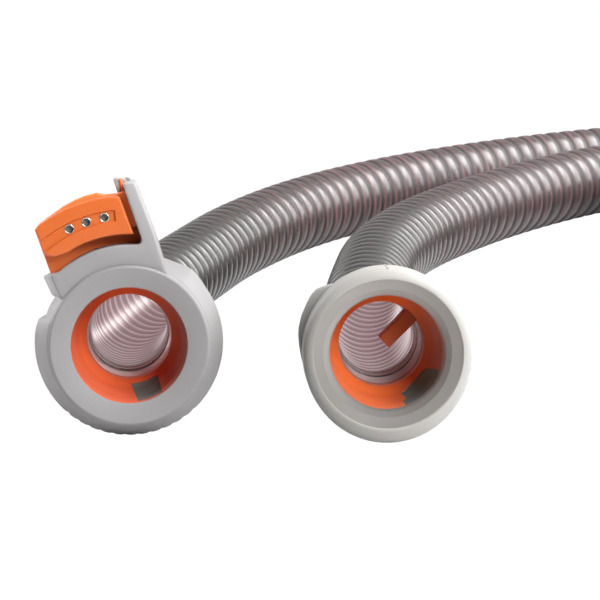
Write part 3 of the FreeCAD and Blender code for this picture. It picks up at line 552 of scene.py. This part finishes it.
def turns(s):
    """How many turns of the bead lie between the machine end and distance s."""
    grid = np.linspace(0.0, TOTAL, 9001)
    pa = np.interp(grid, [k[0] * MM for k in PITCH_MACHINE], [k[1] * MM for k in PITCH_MACHINE])
    pb = np.interp(TOTAL - grid, [k[0] * MM for k in PITCH_MASK], [k[1] * MM for k in PITCH_MASK])
    rate = 1.0 / np.where(grid < TOTAL / 2, pa, pb)
    count = np.r_[0.0, np.cumsum((rate[1:] + rate[:-1]) / 2 * np.diff(grid))]
    return np.interp(s, grid, count)


def stations(s):
    """Centre, side and up vectors of the hose at distances s from its machine end."""
    p = np.stack([np.interp(s, ALONG, LINE[:, k]) for k in range(3)], 1)
    e = 0.0015
    a = np.stack([np.interp(np.clip(s - e, 0, TOTAL), ALONG, LINE[:, k]) for k in range(3)], 1)
    b = np.stack([np.interp(np.clip(s + e, 0, TOTAL), ALONG, LINE[:, k]) for k in range(3)], 1)
    t = b - a
    t /= np.linalg.norm(t, axis=1)[:, None]
    side = np.cross(t, np.array([0.0, 0.0, 1.0]))
    side /= np.linalg.norm(side, axis=1)[:, None]
    return p, side, np.cross(side, t)


def ribbed(name, s, around, radius, mats, extra=None):
    """A helical-ribbed tube along the route. radius(phase, s) gives the radius and the bead's share."""
    p, side, up = stations(s)
    ang = np.linspace(0, 2 * np.pi, around, endpoint=False)
    phase = (turns(s)[:, None] - ang[None, :] / (2 * np.pi)) % 1.0
    r, bead = radius(phase, s[:, None] + 0 * ang[None, :])
    out = np.cos(ang)[None, :, None] * side[:, None, :] + np.sin(ang)[None, :, None] * up[:, None, :]
    co = p[:, None, :] + r[..., None] * out
    n, m = len(s), around
    me = bpy.data.meshes.new(name)
    idx = np.arange(n * m).reshape(n, m)
    quads = np.stack([idx[:-1], np.roll(idx, -1, 1)[:-1], np.roll(idx, -1, 1)[1:], idx[1:]], -1).reshape(-1, 4)
    me.vertices.add(n * m)
    me.vertices.foreach_set("co", co.reshape(-1))
    me.loops.add(len(quads) * 4)
    me.loops.foreach_set("vertex_index", quads.reshape(-1).astype(np.int32))
    me.polygons.add(len(quads))
    me.polygons.foreach_set("loop_start", np.arange(0, len(quads) * 4, 4, dtype=np.int32))
    me.update(calc_edges=True)
    me.validate()
    me.attributes.new("bead", "FLOAT", "POINT").data.foreach_set("value", bead.reshape(-1).astype(np.float32))
    for key, value in (extra(phase, s[:, None] + 0 * ang[None, :], ang, out) if extra else {}).items():
        me.attributes.new(key, "FLOAT", "POINT").data.foreach_set("value", value.reshape(-1).astype(np.float32))
    for m_ in mats:
        me.materials.append(m_)
    me.shade_smooth()
    obj = bpy.data.objects.new(name, me)
    bpy.context.scene.collection.objects.link(obj)
    return obj


def smooth_step(x):
    x = np.clip(x, 0.0, 1.0)
    return x * x * (3 - 2 * x)


def bead_half(s):
    """Half the bead's share of the pitch: most of it near the cuffs, less further on."""
    return np.interp(np.minimum(s, TOTAL - s), [0.0, 0.08, 0.12, 0.17], [0.31, 0.30, 0.265, 0.245])


def outer_radius(phase, s):
    """Broad low beads with a narrow valley of film between the turns."""
    x = np.abs(phase - 0.5)
    depth = np.interp(np.minimum(s, TOTAL - s), [0.07, 0.15], [0.42, 0.52])
    bead = smooth_step((bead_half(s) + 0.08 - x) / 0.16)
    return (9.5 - depth * (x / 0.5) ** 2.5) * MM, bead


def bead_edge(phase, s):
    """The conductor's pinkish line along the bead's edge, stronger on one side."""
    strong = np.interp(np.minimum(s, TOTAL - s), [0.07, 0.13], [0.05, 1.0])
    return np.exp(-((np.abs(phase - 0.5) - bead_half(s)) / 0.085) ** 2) * strong * np.where(phase < 0.5, 1.0, 0.55)


def rosy(s):
    """The film's pink cast, which shows more as the turns open out."""
    return smooth_step((np.minimum(s, TOTAL - s) - 0.085) / 0.06)


def inner_radius(phase, s):
    """From within the film bulges outwards between the turns of the bead."""
    x = np.abs(phase - 0.5) * 2
    bead = smooth_step((x - 0.50) / 0.42)
    return (8.02 + 0.35 * np.cos(np.pi * x)) * MM, bead


near = 14
far = 6
first = np.arange(0.0, 0.262, PITCH / near)
middle = np.arange(0.262, TOTAL - 0.215, PITCH / far)
last = np.arange(TOTAL - 0.215, TOTAL, PITCH / near)
hose = ribbed("hose", np.r_[first, middle, last, TOTAL], 48, outer_radius, [HOSE],
              lambda phase, s, ang, out: {"edge": bead_edge(phase, s), "rosy": rosy(s)})
finish_piece(hose, "hose_film", "hose_run_machine_end", "hose_coil", "hose_run_mask_end")

SIDE_LAMP = (0.78, 0.415, 0.469)   # towards the lamp at the right
FRONT_LAMP = (0.507, -0.604, 0.616)


def painted_daylight(sleeve_end, painted_reflections):
    """How much painted glow each point of the lining gets, standing in for lamp light through the film: none inside the
    cuff and its sleeve.
    A painted reflection is a long painted highlight in the glossy wall, standing in for the lamp's reflection: angles
    along it, width, start, end, strength."""
    def value(phase, s, ang, out):
        side = np.clip(out @ np.array(SIDE_LAMP), 0.0, 1.0)
        front = np.clip(out @ np.array(FRONT_LAMP), 0.0, 1.0)
        d = np.minimum(s, TOTAL - s)
        open_ = smooth_step((d - sleeve_end) / 0.004)
        ridge = smooth_step((np.abs(phase - 0.5) * 2 - 0.5) / 0.3)
        painted_glow = (side * 1.0 + front * 0.2) * open_ * (1.0 - 0.45 * ridge)
        for path, width, s0, s1, amount in painted_reflections:
            centre = np.interp(d, [q[0] for q in path], [q[1] for q in path])
            gap = (np.degrees(ang)[None, :] - centre + 180.0) % 360.0 - 180.0
            painted_glow = painted_glow + (amount * np.exp(-(gap / width) ** 2) * smooth_step((d - s0) / 0.008) * smooth_step((s1 - d) / 0.014)
                           * (1.0 - 0.62 * np.exp(-((np.abs(phase - 0.5) * 2 - 0.60) / 0.13) ** 2)))
        return {"painted_glow": painted_glow}
    return value


def lining(name, start, end, painted_reflections):
    n = 12
    obj = ribbed(name, np.arange(start, end, PITCH / n), 64, inner_radius, [LINING],
                 painted_daylight(0.0092, painted_reflections))
    finish_piece(obj, "hose_film")
    return obj


lining_machine = lining("hose_lining_machine", 0.0, 0.15, [
    ([(0.009, 196.0), (0.026, 208.0), (0.035, 214.0), (0.042, 218.0)], 9.5, 0.004, 0.085, 0.98),
    ([(0.026, 190.0), (0.06, 200.0)], 30.0, 0.03, 0.10, 0.16)])
lining_mask = lining("hose_lining_mask", TOTAL - 0.15, TOTAL - 1e-5, [
    ([(0.0, 212.0), (0.1, 212.0)], 16.0, 0.036, 0.085, 0.55), ([(0.0, 206.0), (0.02, 206.0)], 26.0, -0.01, 0.022, 0.40),
    ([(0.0, 318.0), (0.1, 318.0)], 16.0, 0.004, 0.060, 0.22)])


# ---------------------------------------------------------------- machine cuff
def table(angle, rows):
    """Piecewise-linear value over angle, rows of (degrees, value)."""
    a = angle % 360.0
    return float(np.interp(a, [r[0] for r in rows], [r[1] for r in rows], period=360.0))


EDGE = [(0.0, 17.98), (14.0, 18.0), (22.0, 18.25), (28.0, 18.42), (31.0, 18.25), (36.0, 17.85), (41.0, 17.6), (46.0, 17.45),
        (60.0, 17.0), (125.0, 16.5), (131.7, 16.6), (133.7, 16.65), (139.9, 16.6), (144.0, 17.75), (148.1, 17.9), (152.0, 17.98)]


def machine_rim(angle, r, y):
    """The grip flange out of round: fuller at the upper right, cut back under the band, scalloped below."""
    if r < 15.3:
        return r
    a = angle % 360.0
    r = 15.3 + (r - 15.3) * (table(a, EDGE) - 15.3) / 2.68
    if 204.0 < a < 296.0 and r > 17.2 and 6.0 < y < 9.4:
        k = (a - 204.0) / 92.0 * 12.0
        edge = min(1.0, (a - 204.0) / 4.0, (296.0 - a) / 4.0)
        return r - 0.16 * edge * (0.5 - 0.5 * math.cos(2 * math.pi * k)) ** 3
    return r


cover = Shape()
cover.lathe(soft([
    (11.0, 0.80, 0.15), (14.8, 0.02, 0.35), (15.2, 0.45, 0.3), (15.24, 1.5, 0.12), (15.5, 1.75, 0.1), (17.98, 6.45, 0.3), (17.56, 9.0, 0.5),
    (15.0, 11.2, 0.8), (14.2, 12.6, 0.8), (12.8, 22.0, 0.4), (10.8, 22.0), (10.8, 16.2), (12.3, 14.2), (12.3, 1.2),
    (11.0, 1.2)], 4), segs=360, radius=machine_rim)
# The band under the plug and the arm beside it, one moulding that widens towards the back.
front = (arc(14.9, 40.0, 124.8, 40)
         + soft([(-8.5, 12.3), (-8.74, 13.4), (-9.0, 18.05, 0.6), (-7.6, 17.46)], 5, False)[1:]
         + arc(19.0, 113.4, 68.5, 26)[1:]
         + soft([(6.96, 17.68), (9.36, 16.85, 1.5), (9.86, 28.95, 0.6), (12.1, 28.35, 0.7), (11.98, 18.0, 8.0),
                 (11.5, 9.8)], 6, False)[1:])
rear = []
for x, z in front:
    fx = 0.0
    if x < -8.2:
        fx = -2.0 * min(1.0, (-x - 8.2) / 0.5)
    elif x > 11.0 and z > 9.0:
        fx = 0.35
    rear.append((x + fx, z - (0.35 if fx < -0.5 and z > 15.5 else 0.0)))
cover.prism(front, 0.85, 11.4, front=0.4, back=0.3, back_loop=rear, steps=5, mat=1)
# The arm's rear return.
cover.prism(soft([(9.4, 27.5), (10.6, 27.5), (10.6, 29.3), (9.9, 29.6, 0.3)], 4), 8.6, 11.3, 0.2, 0.2, mat=1)
cover.prism(soft([(8.25, 26.5, 0.3), (9.35, 25.9, 0.2), (9.5, 29.95, 0.3), (8.45, 30.25, 0.3)], 4), 6.9, 11.2, 0.2, 0.25, mat=1)
# Roof of the hood behind the band, down to the barrel.
cover.prism(soft([(-10.4, 12.0, 0.5), (10.6, 11.6, 0.5), (10.7, 16.6, 1.0), (-10.6, 17.0, 1.2)], 5), 9.6, 16.6, 0.6, 2.2,
            back_loop=soft([(-8.2, 10.2, 0.5), (8.8, 10.2, 0.5), (8.6, 13.6, 1.0), (-8.0, 13.4, 1.2)], 5))
cuff_left = cover.ready("machine_cuff", MACHINE, [GREY, GREY_ARM_PAINTED_LIGHT])
finish_piece(cuff_left, "cuff_grey", "machine_cuff_cover")


def slot_shape(corners, z0, z1):
    """A key's slot through the wall: corners in x, y, run along z."""
    return Shape().loft([[(x, y, z0) for x, y in corners], [(x, y, z1) for x, y in corners]])


def bore_profile(start, shift):
    s = shift
    return soft([
        (11.0, start, 0.1), (11.0, 9.6 + s, 9.0), (9.9, 14.0 + s, 2.5), (8.35, 15.9 + s, 0.5), (8.3, 18.6 + s, 0.15),
        (9.3, 18.6 + s), (9.3, 27.0 + s), (10.6, 27.0 + s), (10.6, 16.1 + s), (12.2, 14.0 + s), (12.2, start)], 5)


def block(low, high):
    s = Shape()
    (x0, y0, z0), (x1, y1, z1) = low, high
    return s.loft([[(x0, y0, z0), (x1, y0, z0), (x1, y0, z1), (x0, y0, z1)],
                   [(x0, y1, z0), (x1, y1, z0), (x1, y1, z1), (x0, y1, z1)]])


bore_left = Shape().lathe(bore_profile(0.92, 0.0), segs=256).ready("machine_bore", MACHINE, [ORANGE_BORE])
carve(bore_left, slot_shape([(-2.4, 2.9), (2.42, 3.2), (2.36, 15.1), (-3.05, 15.1)], -8.0, -14.0).ready("slot_cutter", MACHINE, []))
finish_piece(bore_left, "orange_plastic", "machine_bore_insert")


def key_patch(name, place, edges, shift=0.0, r=11.06, mat=KEY_PAINTED_SHADE):
    """The cover's lock key, seen flush in its slot: a strip bent to the bore's wall, drawn by default in a darker tone
    that is painted shade. edges are (y, low, high angle).
    """
    shape = Shape()
    n, m = 20, 26
    rows = []
    ys = [e[0] for e in edges]
    for j in range(m + 1):
        y = ys[0] + (ys[-1] - ys[0]) * j / m
        lo, hi = float(np.interp(y, ys, [e[1] for e in edges])), float(np.interp(y, ys, [e[2] for e in edges]))
        wall = float(np.interp(y - shift, [0, 10.0, 14.2, 15.9], [r, r, r - 1.1, r - 2.6]))
        angles = [rad(lo + (hi - lo) * i / n) for i in range(n + 1)]
        rows.append([(wall * math.cos(a), y, wall * math.sin(a)) for a in angles]
                    + [(12.1 * math.cos(a), y, 12.1 * math.sin(a)) for a in angles[::-1]])
    shape.loft(rows)
    obj = shape.ready(name, place, [mat])
    finish_piece(obj, "cuff_grey")
    return obj


key_left = key_patch("machine_lock_key", MACHINE, [(2.7, -103.2, -76.8), (10.0, -106.0, -76.5), (15.2, -110.4, -75.0)], r=11.1)

# ---------------------------------------------------------------- plug
plug = Shape()
face = soft([(-8.45, 24.0), (-8.4, 21.5, 0.5), (-6.9, 20.62, 0.8), (-4.2, 20.45)], 4, False)[1:]
face += arc(20.98, 99.5, 67.3, 20) + soft([(8.09, 19.36), (8.4, 19.3, 0.5), (8.5, 26.9, 0.6), (7.6, 27.15)], 4, False)[1:-1]
face += arc(28.25, 74.5, 106.0, 36) + soft([(-7.79, 27.16), (-8.5, 26.75, 0.5), (-8.45, 24.0)], 4, False)[1:-1]
plug_block = Shape().prism(face, 1.2, 9.4, front=0.38, back=0.1, steps=5).ready("plug_block", MACHINE, [ORANGE])
# Contact channel with sloping walls, open to the left.
def slit(r0, r1, end):
    """The channel's outline: open at the left, round-cornered at the right."""
    loop = arc(r0, 116.0, end, 30) + arc(r1, end, 114.0, 30)
    return soft([(x, z, 0.35) if i in (30, 31) else (x, z) for i, (x, z) in enumerate(loop)], 4)


channel, channel_deep = slit(23.42, 25.75, 74.7), slit(23.72, 25.5, 75.4)
cutter = Shape().loft([[(x, 0.6, z) for x, z in channel], [(x, 1.22, z) for x, z in channel],
                       [(x, 1.62, z) for x, z in channel_deep]])
carve(plug_block, cutter.ready("channel_cutter", MACHINE, []))
SPOTS = [(-2.48, 24.50), (0.94, 24.55), (4.37, 24.15)]
for k, (x, z) in enumerate(SPOTS):
    ring = arc(0.90, 0, 360, 40, (x, z))[:-1]
    hole = Shape().loft([[(a, 0.9, b) for a, b in ring], [(a, 8.6, b) for a, b in ring]])
    carve(plug_block, hole.ready("hole_cutter", MACHINE, []))
finish_piece(plug_block, "orange_plastic", "connector_housing")
# Back plate: the floor of the moat round the block, with the tab beside the arm.
plate_loop = soft([
    (-9.15, 17.1, 0.3), (-8.6, 16.4), (-5.6, 16.8), (0.0, 17.2), (5.6, 16.6), (10.0, 15.6),
    (9.9, 20.0), (9.85, 25.0), (9.95, 29.6, 0.2), (9.4, 29.9, 0.2), (9.1, 27.0, 0.3), (8.3, 27.2), (5.7, 27.95), (3.0, 28.25),
    (0.0, 28.35), (-3.0, 28.2), (-6.0, 27.7), (-8.9, 26.6, 0.5)], 3)
plate = Shape().prism(plate_loop, 6.6, 9.5, front=0.25, back=0.1)
# The ledge between the block and the arm.
plate.prism(soft([(7.6, 20.4), (9.75, 20.4), (9.9, 27.3, 0.3), (7.8, 27.4, 0.3)], 3), 3.4, 7.0, front=0.3, back=0.1)
rail_loop = soft([(-6.6, 26.6), (-6.0, 27.3, 0.4), (-5.0, 27.95, 0.5), (-2.2, 28.68), (0.2, 29.0), (2.3, 29.05), (4.6, 28.78, 0.35),
                  (5.75, 28.05, 0.35), (5.6, 26.6)], 4)
plate.prism(rail_loop, 5.4, 8.4, front=0.3, back=0.3)
back_plate = plate.ready("plug_back_plate", MACHINE, [PLATE_PAINTED_LIGHT])
finish_piece(back_plate, "orange_plastic")
sockets = Shape()
for x, z in SPOTS:
    prof = soft([(0.72, 1.50, 0.05), (0.885, 1.46, 0.07), (0.885, 8.6), (0.45, 8.6), (0.45, 7.6), (0.72, 7.6)], 4)
    tube = Shape().lathe(prof, segs=40)
    sockets.add([(a + x, b, c + z) for a, b, c in tube.verts], tube.faces)
    end = arc(0.44, 0, 360, 20, (x, z))[:-1]
    sockets.loft([[(a, 7.9, b) for a, b in end], [(a, 8.5, b) for a, b in end]])
    core = arc(0.70, 0, 360, 24, (x, z))[:-1]
    # The core fills the socket's bore in a dark tone: painted shade.
    sockets.loft([[(a, 2.3, b) for a, b in core], [(a, 7.7, b) for a, b in core]], mat=1)
    pin = arc(0.3, 0, 360, 12, (x, z))[:-1]
    sockets.loft([[(a, 8.5, b) for a, b in pin], [(a, 11.4, b) for a, b in pin]])
socket_tubes = sockets.ready("contact_tubes", MACHINE, [TIN, THROAT_PAINTED_SHADE])
finish_piece(socket_tubes, "contact_metal", "contact_sockets")
hood = Shape().prism(soft([
    (-9.1, 17.2, 0.8), (11.3, 17.2, 0.8), (11.45, 29.2, 0.6), (8.9, 29.6, 0.4), (8.4, 27.0, 0.8), (0.0, 27.6, 2.0),
    (-6.0, 26.6, 1.0), (-9.0, 24.6, 0.8)], 5), 9.45, 14.3, front=0.1, back=1.2, steps=6)
hood_back = hood.ready("plug_rear_cover", MACHINE, [GREY])
carve(hood_back, block((-8.1, 8.0, 20.0), (8.0, 13.3, 25.4)).ready("hollow_cutter", MACHINE, []))
finish_piece(hood_back, "cuff_grey", "connector_rear_cover")


# ---------------------------------------------------------------- ferrules and sleeves, both ends
def ferrule(name, place, y0, y1, node, bands, low_side, lean, clear):
    """Clear collar in the bore's end. Behind it lie the close last turns of the hose, drawn as bands of (y, material):
    the dark bands are painted shadow in the gaps between turns, the pale bands painted highlights on the turns.
    The hose pulls the collar off its axis, so its bore leans in towards low_side by lean."""
    def leaning(angle, r, y):
        if r > 9.0:
            return r
        toward = (0.5 + 0.5 * math.cos(rad(angle - low_side))) ** 1.5
        return r - lean * toward * max(0.0, (y - y0) / (y1 - y0))

    def inner(y):
        return 8.25 - 0.3 * (y - y0) / (y1 - y0)

    end = bands[0][0]
    shape = Shape().lathe(soft([(inner(y0), y0 + 0.1, 0.25), (9.27, y0, 0.1), (9.27, end), (inner(end) + 0.05, end, 0.1),
                                (inner(end), end - 0.3, 0.2)], 5), segs=160, radius=leaning)
    for (a, mat), (b, _) in zip(bands, bands[1:] + [(y1, 0)]):
        dip = 0.14 if mat == 1 else 0.0
        shape.lathe(soft([(9.27, a), (9.27, b), (inner(b) + dip, b, 0.05), (inner((a + b) / 2) + dip * 0.6, (a + b) / 2, 0.3),
                          (inner(a) + dip, a, 0.05)], 4), segs=160, mat=mat, radius=leaning)
    obj = shape.ready(name, place, [clear, GAP_SHADOW, LINING_END_PAINTED_HIGHLIGHT])
    return finish_piece(obj, "clear_plastic", node)


ferrule_left = ferrule("machine_ferrule", MACHINE, 18.62, 27.0, "machine_hose_ferrule",
                       [(22.5, 1), (24.3, 2), (25.5, 1), (26.1, 2)], -105.0, 0.75, CLEAR_PAINTED_GLOW)


def sleeve(name, place, shift, node):
    """Soft tapered sleeve with four bending grooves and round edges."""
    pts = [(10.62, 22.02 + shift), (12.6, 22.02 + shift, 0.3), (12.45, 23.6 + shift, 0.3)]
    y = 25.6
    while y < 34.0:
        r = 12.6 - (y - 22.0) * 0.095
        pts += [(r, y + shift, 0.3), (r - 1.15, y + 0.15 + shift, 0.3), (r - 1.2, y + 1.05 + shift, 0.3),
                (r - 0.1, y + 1.2 + shift, 0.3)]
        y += 2.3
    pts += [(11.3, 35.6 + shift, 0.4), (10.4, 36.0 + shift, 0.3), (9.62, 36.0 + shift, 0.2), (9.62, 27.02 + shift),
            (10.62, 27.02 + shift)]
    obj = Shape().lathe(soft(pts, 4), segs=180).ready(name, place, [SLEEVE])
    return finish_piece(obj, "sleeve_grey", node)


sleeve_left = sleeve("machine_sleeve", MACHINE, 0.0, "machine_strain_relief")

# ---------------------------------------------------------------- mask cuff
def mask_rim(angle, r, y):
    """The soft lip is a little out of round: fuller below and above than at the sides."""
    if r < 15.0:
        return r
    up = math.sin(rad(angle - 45.0))
    return r + (0.30 * up * up if up > 0 else 0.98 * up * up) * min(1.0, max(0.0, (r - 15.0) / 0.9))


mask = Shape()
mask.lathe(soft([(10.8, 4.0, 0.1), (11.1, 2.9, 0.8), (12.15, 1.75, 0.3), (13.95, 0.42, 0.3), (14.2, 0.06)], 5, False)
           + arc(1.63, -90.0, 0.0, 12, (14.3, 1.68))
           + soft([(15.93, 3.0), (15.93, 8.3, 0.5), (15.4, 9.6, 0.6), (14.4, 13.2, 1.5), (14.0, 15.2, 1.0), (12.8, 23.0, 0.4),
                   (10.8, 23.0), (10.8, 17.2), (12.3, 15.2), (12.3, 4.03), (11.2, 4.03)], 5, False), segs=320, radius=mask_rim)
tab_loop = (soft([(-12.8, 2.2), (-15.95, 2.1, 0.3), (-16.9, 0.5, 0.8), (-17.6, -1.1, 0.8), (-17.55, -2.4, 2.0), (-17.05, -4.1, 2.0), (-16.1, -6.5, 2.0),
                  (-14.8, -8.6, 2.0), (-13.9, -9.6, 2.0), (-12.4, -10.9, 2.0), (-10.6, -12.2, 2.0), (-8.9, -13.2, 2.0),
                  (-7.6, -13.9, 1.0), (-6.4, -14.8, 0.8), (-4.9, -13.4)], 4, False)[:-1]
            + arc(12.8, -112.0, -188.5, 26))
mask.prism(tab_loop, 7.7, 15.4, front=0.4, back=0.8, back_loop=[(x * 0.955, z * 0.955) for x, z in tab_loop])
# Fine parting line over the top of the lip.
for w, top in ((0.13, 0.12), (0.05, 0.17)):
    rows = []
    for y in (0.9, 1.6, 4.0, 8.0, 8.6):
        r = float(np.interp(y, [0.9, 1.6, 8.6], [16.12, 16.2, 16.2])) + top
        c, s_ = math.cos(rad(135.0)), math.sin(rad(135.0))
        rows.append([((r + h) * c - d * s_, y, (r + h) * s_ + d * c) for d, h in ((-w, -0.3), (w, -0.3), (w, 0.0), (-w, 0.0))])
    mask.loft(rows)
# The funnel's faces take the darker copies of the rubber: painted shade.
mask.paint(lambda r, y: 12.1 < r < 14.0 and y < 1.8, 1).paint(lambda r, y: 10.7 < r <= 12.1 and y < 4.1, 2)
cuff_right = mask.ready("mask_cuff", MASK, [GREY_MASK, FUNNEL_PAINTED_SHADE, FUNNEL_FOOT_PAINTED_SHADE])
finish_piece(cuff_right, "cuff_grey", "mask_cuff_cover")
bore_right = Shape().lathe(bore_profile(4.02, 1.0), segs=256).ready("mask_bore", MASK, [ORANGE_MASK])
key_shape = [(4.6, -4.7), (10.6, -4.75), (12.1, -3.9), (12.9, -3.9), (14.6, -4.3), (15.6, -1.6), (15.8, 1.6), (15.2, 2.9),
             (11.0, 4.2), (8.0, 4.5), (4.6, 4.5)]
carve(bore_right, Shape().loft([[(8.0, y, z) for y, z in key_shape], [(14.0, y, z) for y, z in key_shape]]).ready(
    "mask_slot_cutter", MASK, []))
finish_piece(bore_right, "orange_plastic", "mask_bore_insert")
key_right = key_patch("mask_lock_key", MASK, [(4.5, -26.5, 24.6), (11.0, -27.5, 24.0), (15.9, -30.0, 19.0)], shift=1.0, r=11.1, mat=KEY_MASK_PAINTED_SHADE)
blade = Shape().prism(soft([(-1.36, 0.62, 0.3), (1.40, 0.55, 0.3), (1.55, 5.0), (1.68, 8.0), (1.78, 10.4),
                            (-1.42, 10.4), (-1.4, 8.0), (-1.38, 5.0)], 4), 15.6, 19.4, front=0.22, back=0.25,
                      lean=lambda x, z: 0.42 * max(0.0, z - 5.4)).ready("sensor_blade", MASK, [FIN_PAINTED_SHADE])
finish_piece(blade, "orange_plastic", "sensor_fin")
ferrule_right = ferrule("mask_ferrule", MASK, 19.62, 28.0, "mask_hose_ferrule",
                        [(23.9, 1), (24.9, 2), (25.5, 1), (25.95, 2), (26.55, 1), (27.0, 2), (27.5, 1)], -25.0, 1.3, CLEAR_MASK_PAINTED_SHADE)
sleeve_right = sleeve("mask_sleeve", MASK, 1.0, "mask_strain_relief")

# ---------------------------------------------------------------- CAD nodes that stay
for node, material in (("connector_circuit_board", BOARD), ("board_resistors", CHIP), ("machine_lead_wires", COPPER),
                       ("thermistor_bead", GLASS), ("sensor_leads", COPPER), ("mask_lead_wires", COPPER),
                       ("heater_crimp", TIN)):
    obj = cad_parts[node]
    if not obj.material_slots:
        obj.data.materials.append(material)
    for s in obj.material_slots:
        s.material = material

# ---------------------------------------------------------------- floor and light
def seen_white(tree, out, dim_shader):
    """Shows plain white to the eye and gives the object only the dim shader's light."""
    path = tree.nodes.new("ShaderNodeLightPath")
    white = tree.nodes.new("ShaderNodeEmission" if tree.nodes.get("World Output") is None else "ShaderNodeBackground")
    white.inputs["Color"].default_value = (1.0, 1.0, 1.0, 1.0)
    white.inputs["Strength"].default_value = 1.02
    both = tree.nodes.new("ShaderNodeMixShader")
    tree.links.new(path.outputs["Is Camera Ray"], both.inputs[0])
    tree.links.new(dim_shader, both.inputs[1])
    tree.links.new(white.outputs[0], both.inputs[2])
    tree.links.new(both.outputs[0], out)


floor_material = Nodes("studio_white")
shade = floor_material.surface(Base_Color=floor_material.mix(
    floor_material.stretch(floor_material.noise(3.0, 2.0), 0.3, 0.7), (0.62, 0.62, 0.62), (0.59, 0.59, 0.595)), Roughness=0.9)
seen_white(floor_material.tree, floor_material.out.inputs["Surface"], shade.outputs[0])
sweep = Shape()
prof = [(-2.5, 0.0), (0.0, 0.0), (2.5, 0.0)]
sweep.add([(x, y, z - 0.00002) for y, z in prof for x in (-2.5, 2.5)],
          [(2 * i, 2 * i + 1, 2 * i + 3, 2 * i + 2) for i in range(len(prof) - 1)])
floor = sweep.ready("studio_floor", Matrix.Identity(4), [floor_material.material], 80.0)

world = bpy.data.worlds.new("studio")
bpy.context.scene.world = world
world.use_nodes = True
wn = world.node_tree
wn.nodes["Background"].inputs["Color"].default_value = (1.0, 1.0, 1.0, 1.0)
# A white surround: bright behind the object, dim in front of it.
where = wn.nodes.new("ShaderNodeTexCoord")
parts = wn.nodes.new("ShaderNodeSeparateXYZ")
fade = wn.nodes.new("ShaderNodeMapRange")
fade.interpolation_type = "SMOOTHSTEP"
for key, number in (("From Min", -0.15), ("From Max", 0.45), ("To Min", 0.04), ("To Max", 0.55)):
    fade.inputs[key].default_value = number
wn.links.new(where.outputs["Generated"], parts.inputs[0])
wn.links.new(parts.outputs["Y"], fade.inputs["Value"])
wn.links.new(fade.outputs["Result"], wn.nodes["Background"].inputs["Strength"])
seen_white(wn, wn.nodes["World Output"].inputs["Surface"], wn.nodes["Background"].outputs[0])


def softbox(name, direction, distance, size, power, aim=(0.03, 0.05, 0.02), colour=(1.0, 1.0, 1.0)):
    data = bpy.data.lights.new(name, "AREA")
    data.shape = "RECTANGLE"
    data.size, data.size_y = size
    data.energy = power
    data.color = colour
    obj = bpy.data.objects.new(name, data)
    obj.location = Vector(aim) + Vector(direction).normalized() * distance
    obj.rotation_euler = (-Vector(direction)).to_track_quat("-Z", "Y").to_euler()
    obj.visible_camera = False
    bpy.context.scene.collection.objects.link(obj)
    return obj


softbox("front_softbox", FRONT_LAMP, 1.0, (0.5, 0.5), 13.4)
softbox("left_softbox", (-0.85, 0.45, 0.30), 1.1, (1.0, 0.8), 12.8)
softbox("side_softbox", SIDE_LAMP, 0.75, (0.5, 0.5), 5.4)
softbox("top_softbox", (0.25, -0.02, 0.95), 0.9, (0.7, 0.7), 9.0)
# The lamp that rakes the hose. Its light passes through the clear film, so only the other pieces block it.
rake = softbox("hose_softbox", (0.60, 0.40, 0.68), 0.75, (0.44, 0.30), 4.0)
lit = bpy.data.collections.new("raked_pieces")
for piece in (hose, lining_machine, lining_mask):
    lit.objects.link(piece)
rake.light_linking.receiver_collection = lit
blockers = bpy.data.collections.new("rake_blockers")
for piece in (cuff_left, bore_left, sleeve_left, cuff_right, bore_right, sleeve_right, ferrule_left, ferrule_right, blade):
    blockers.objects.link(piece)
rake.light_linking.blocker_collection = blockers
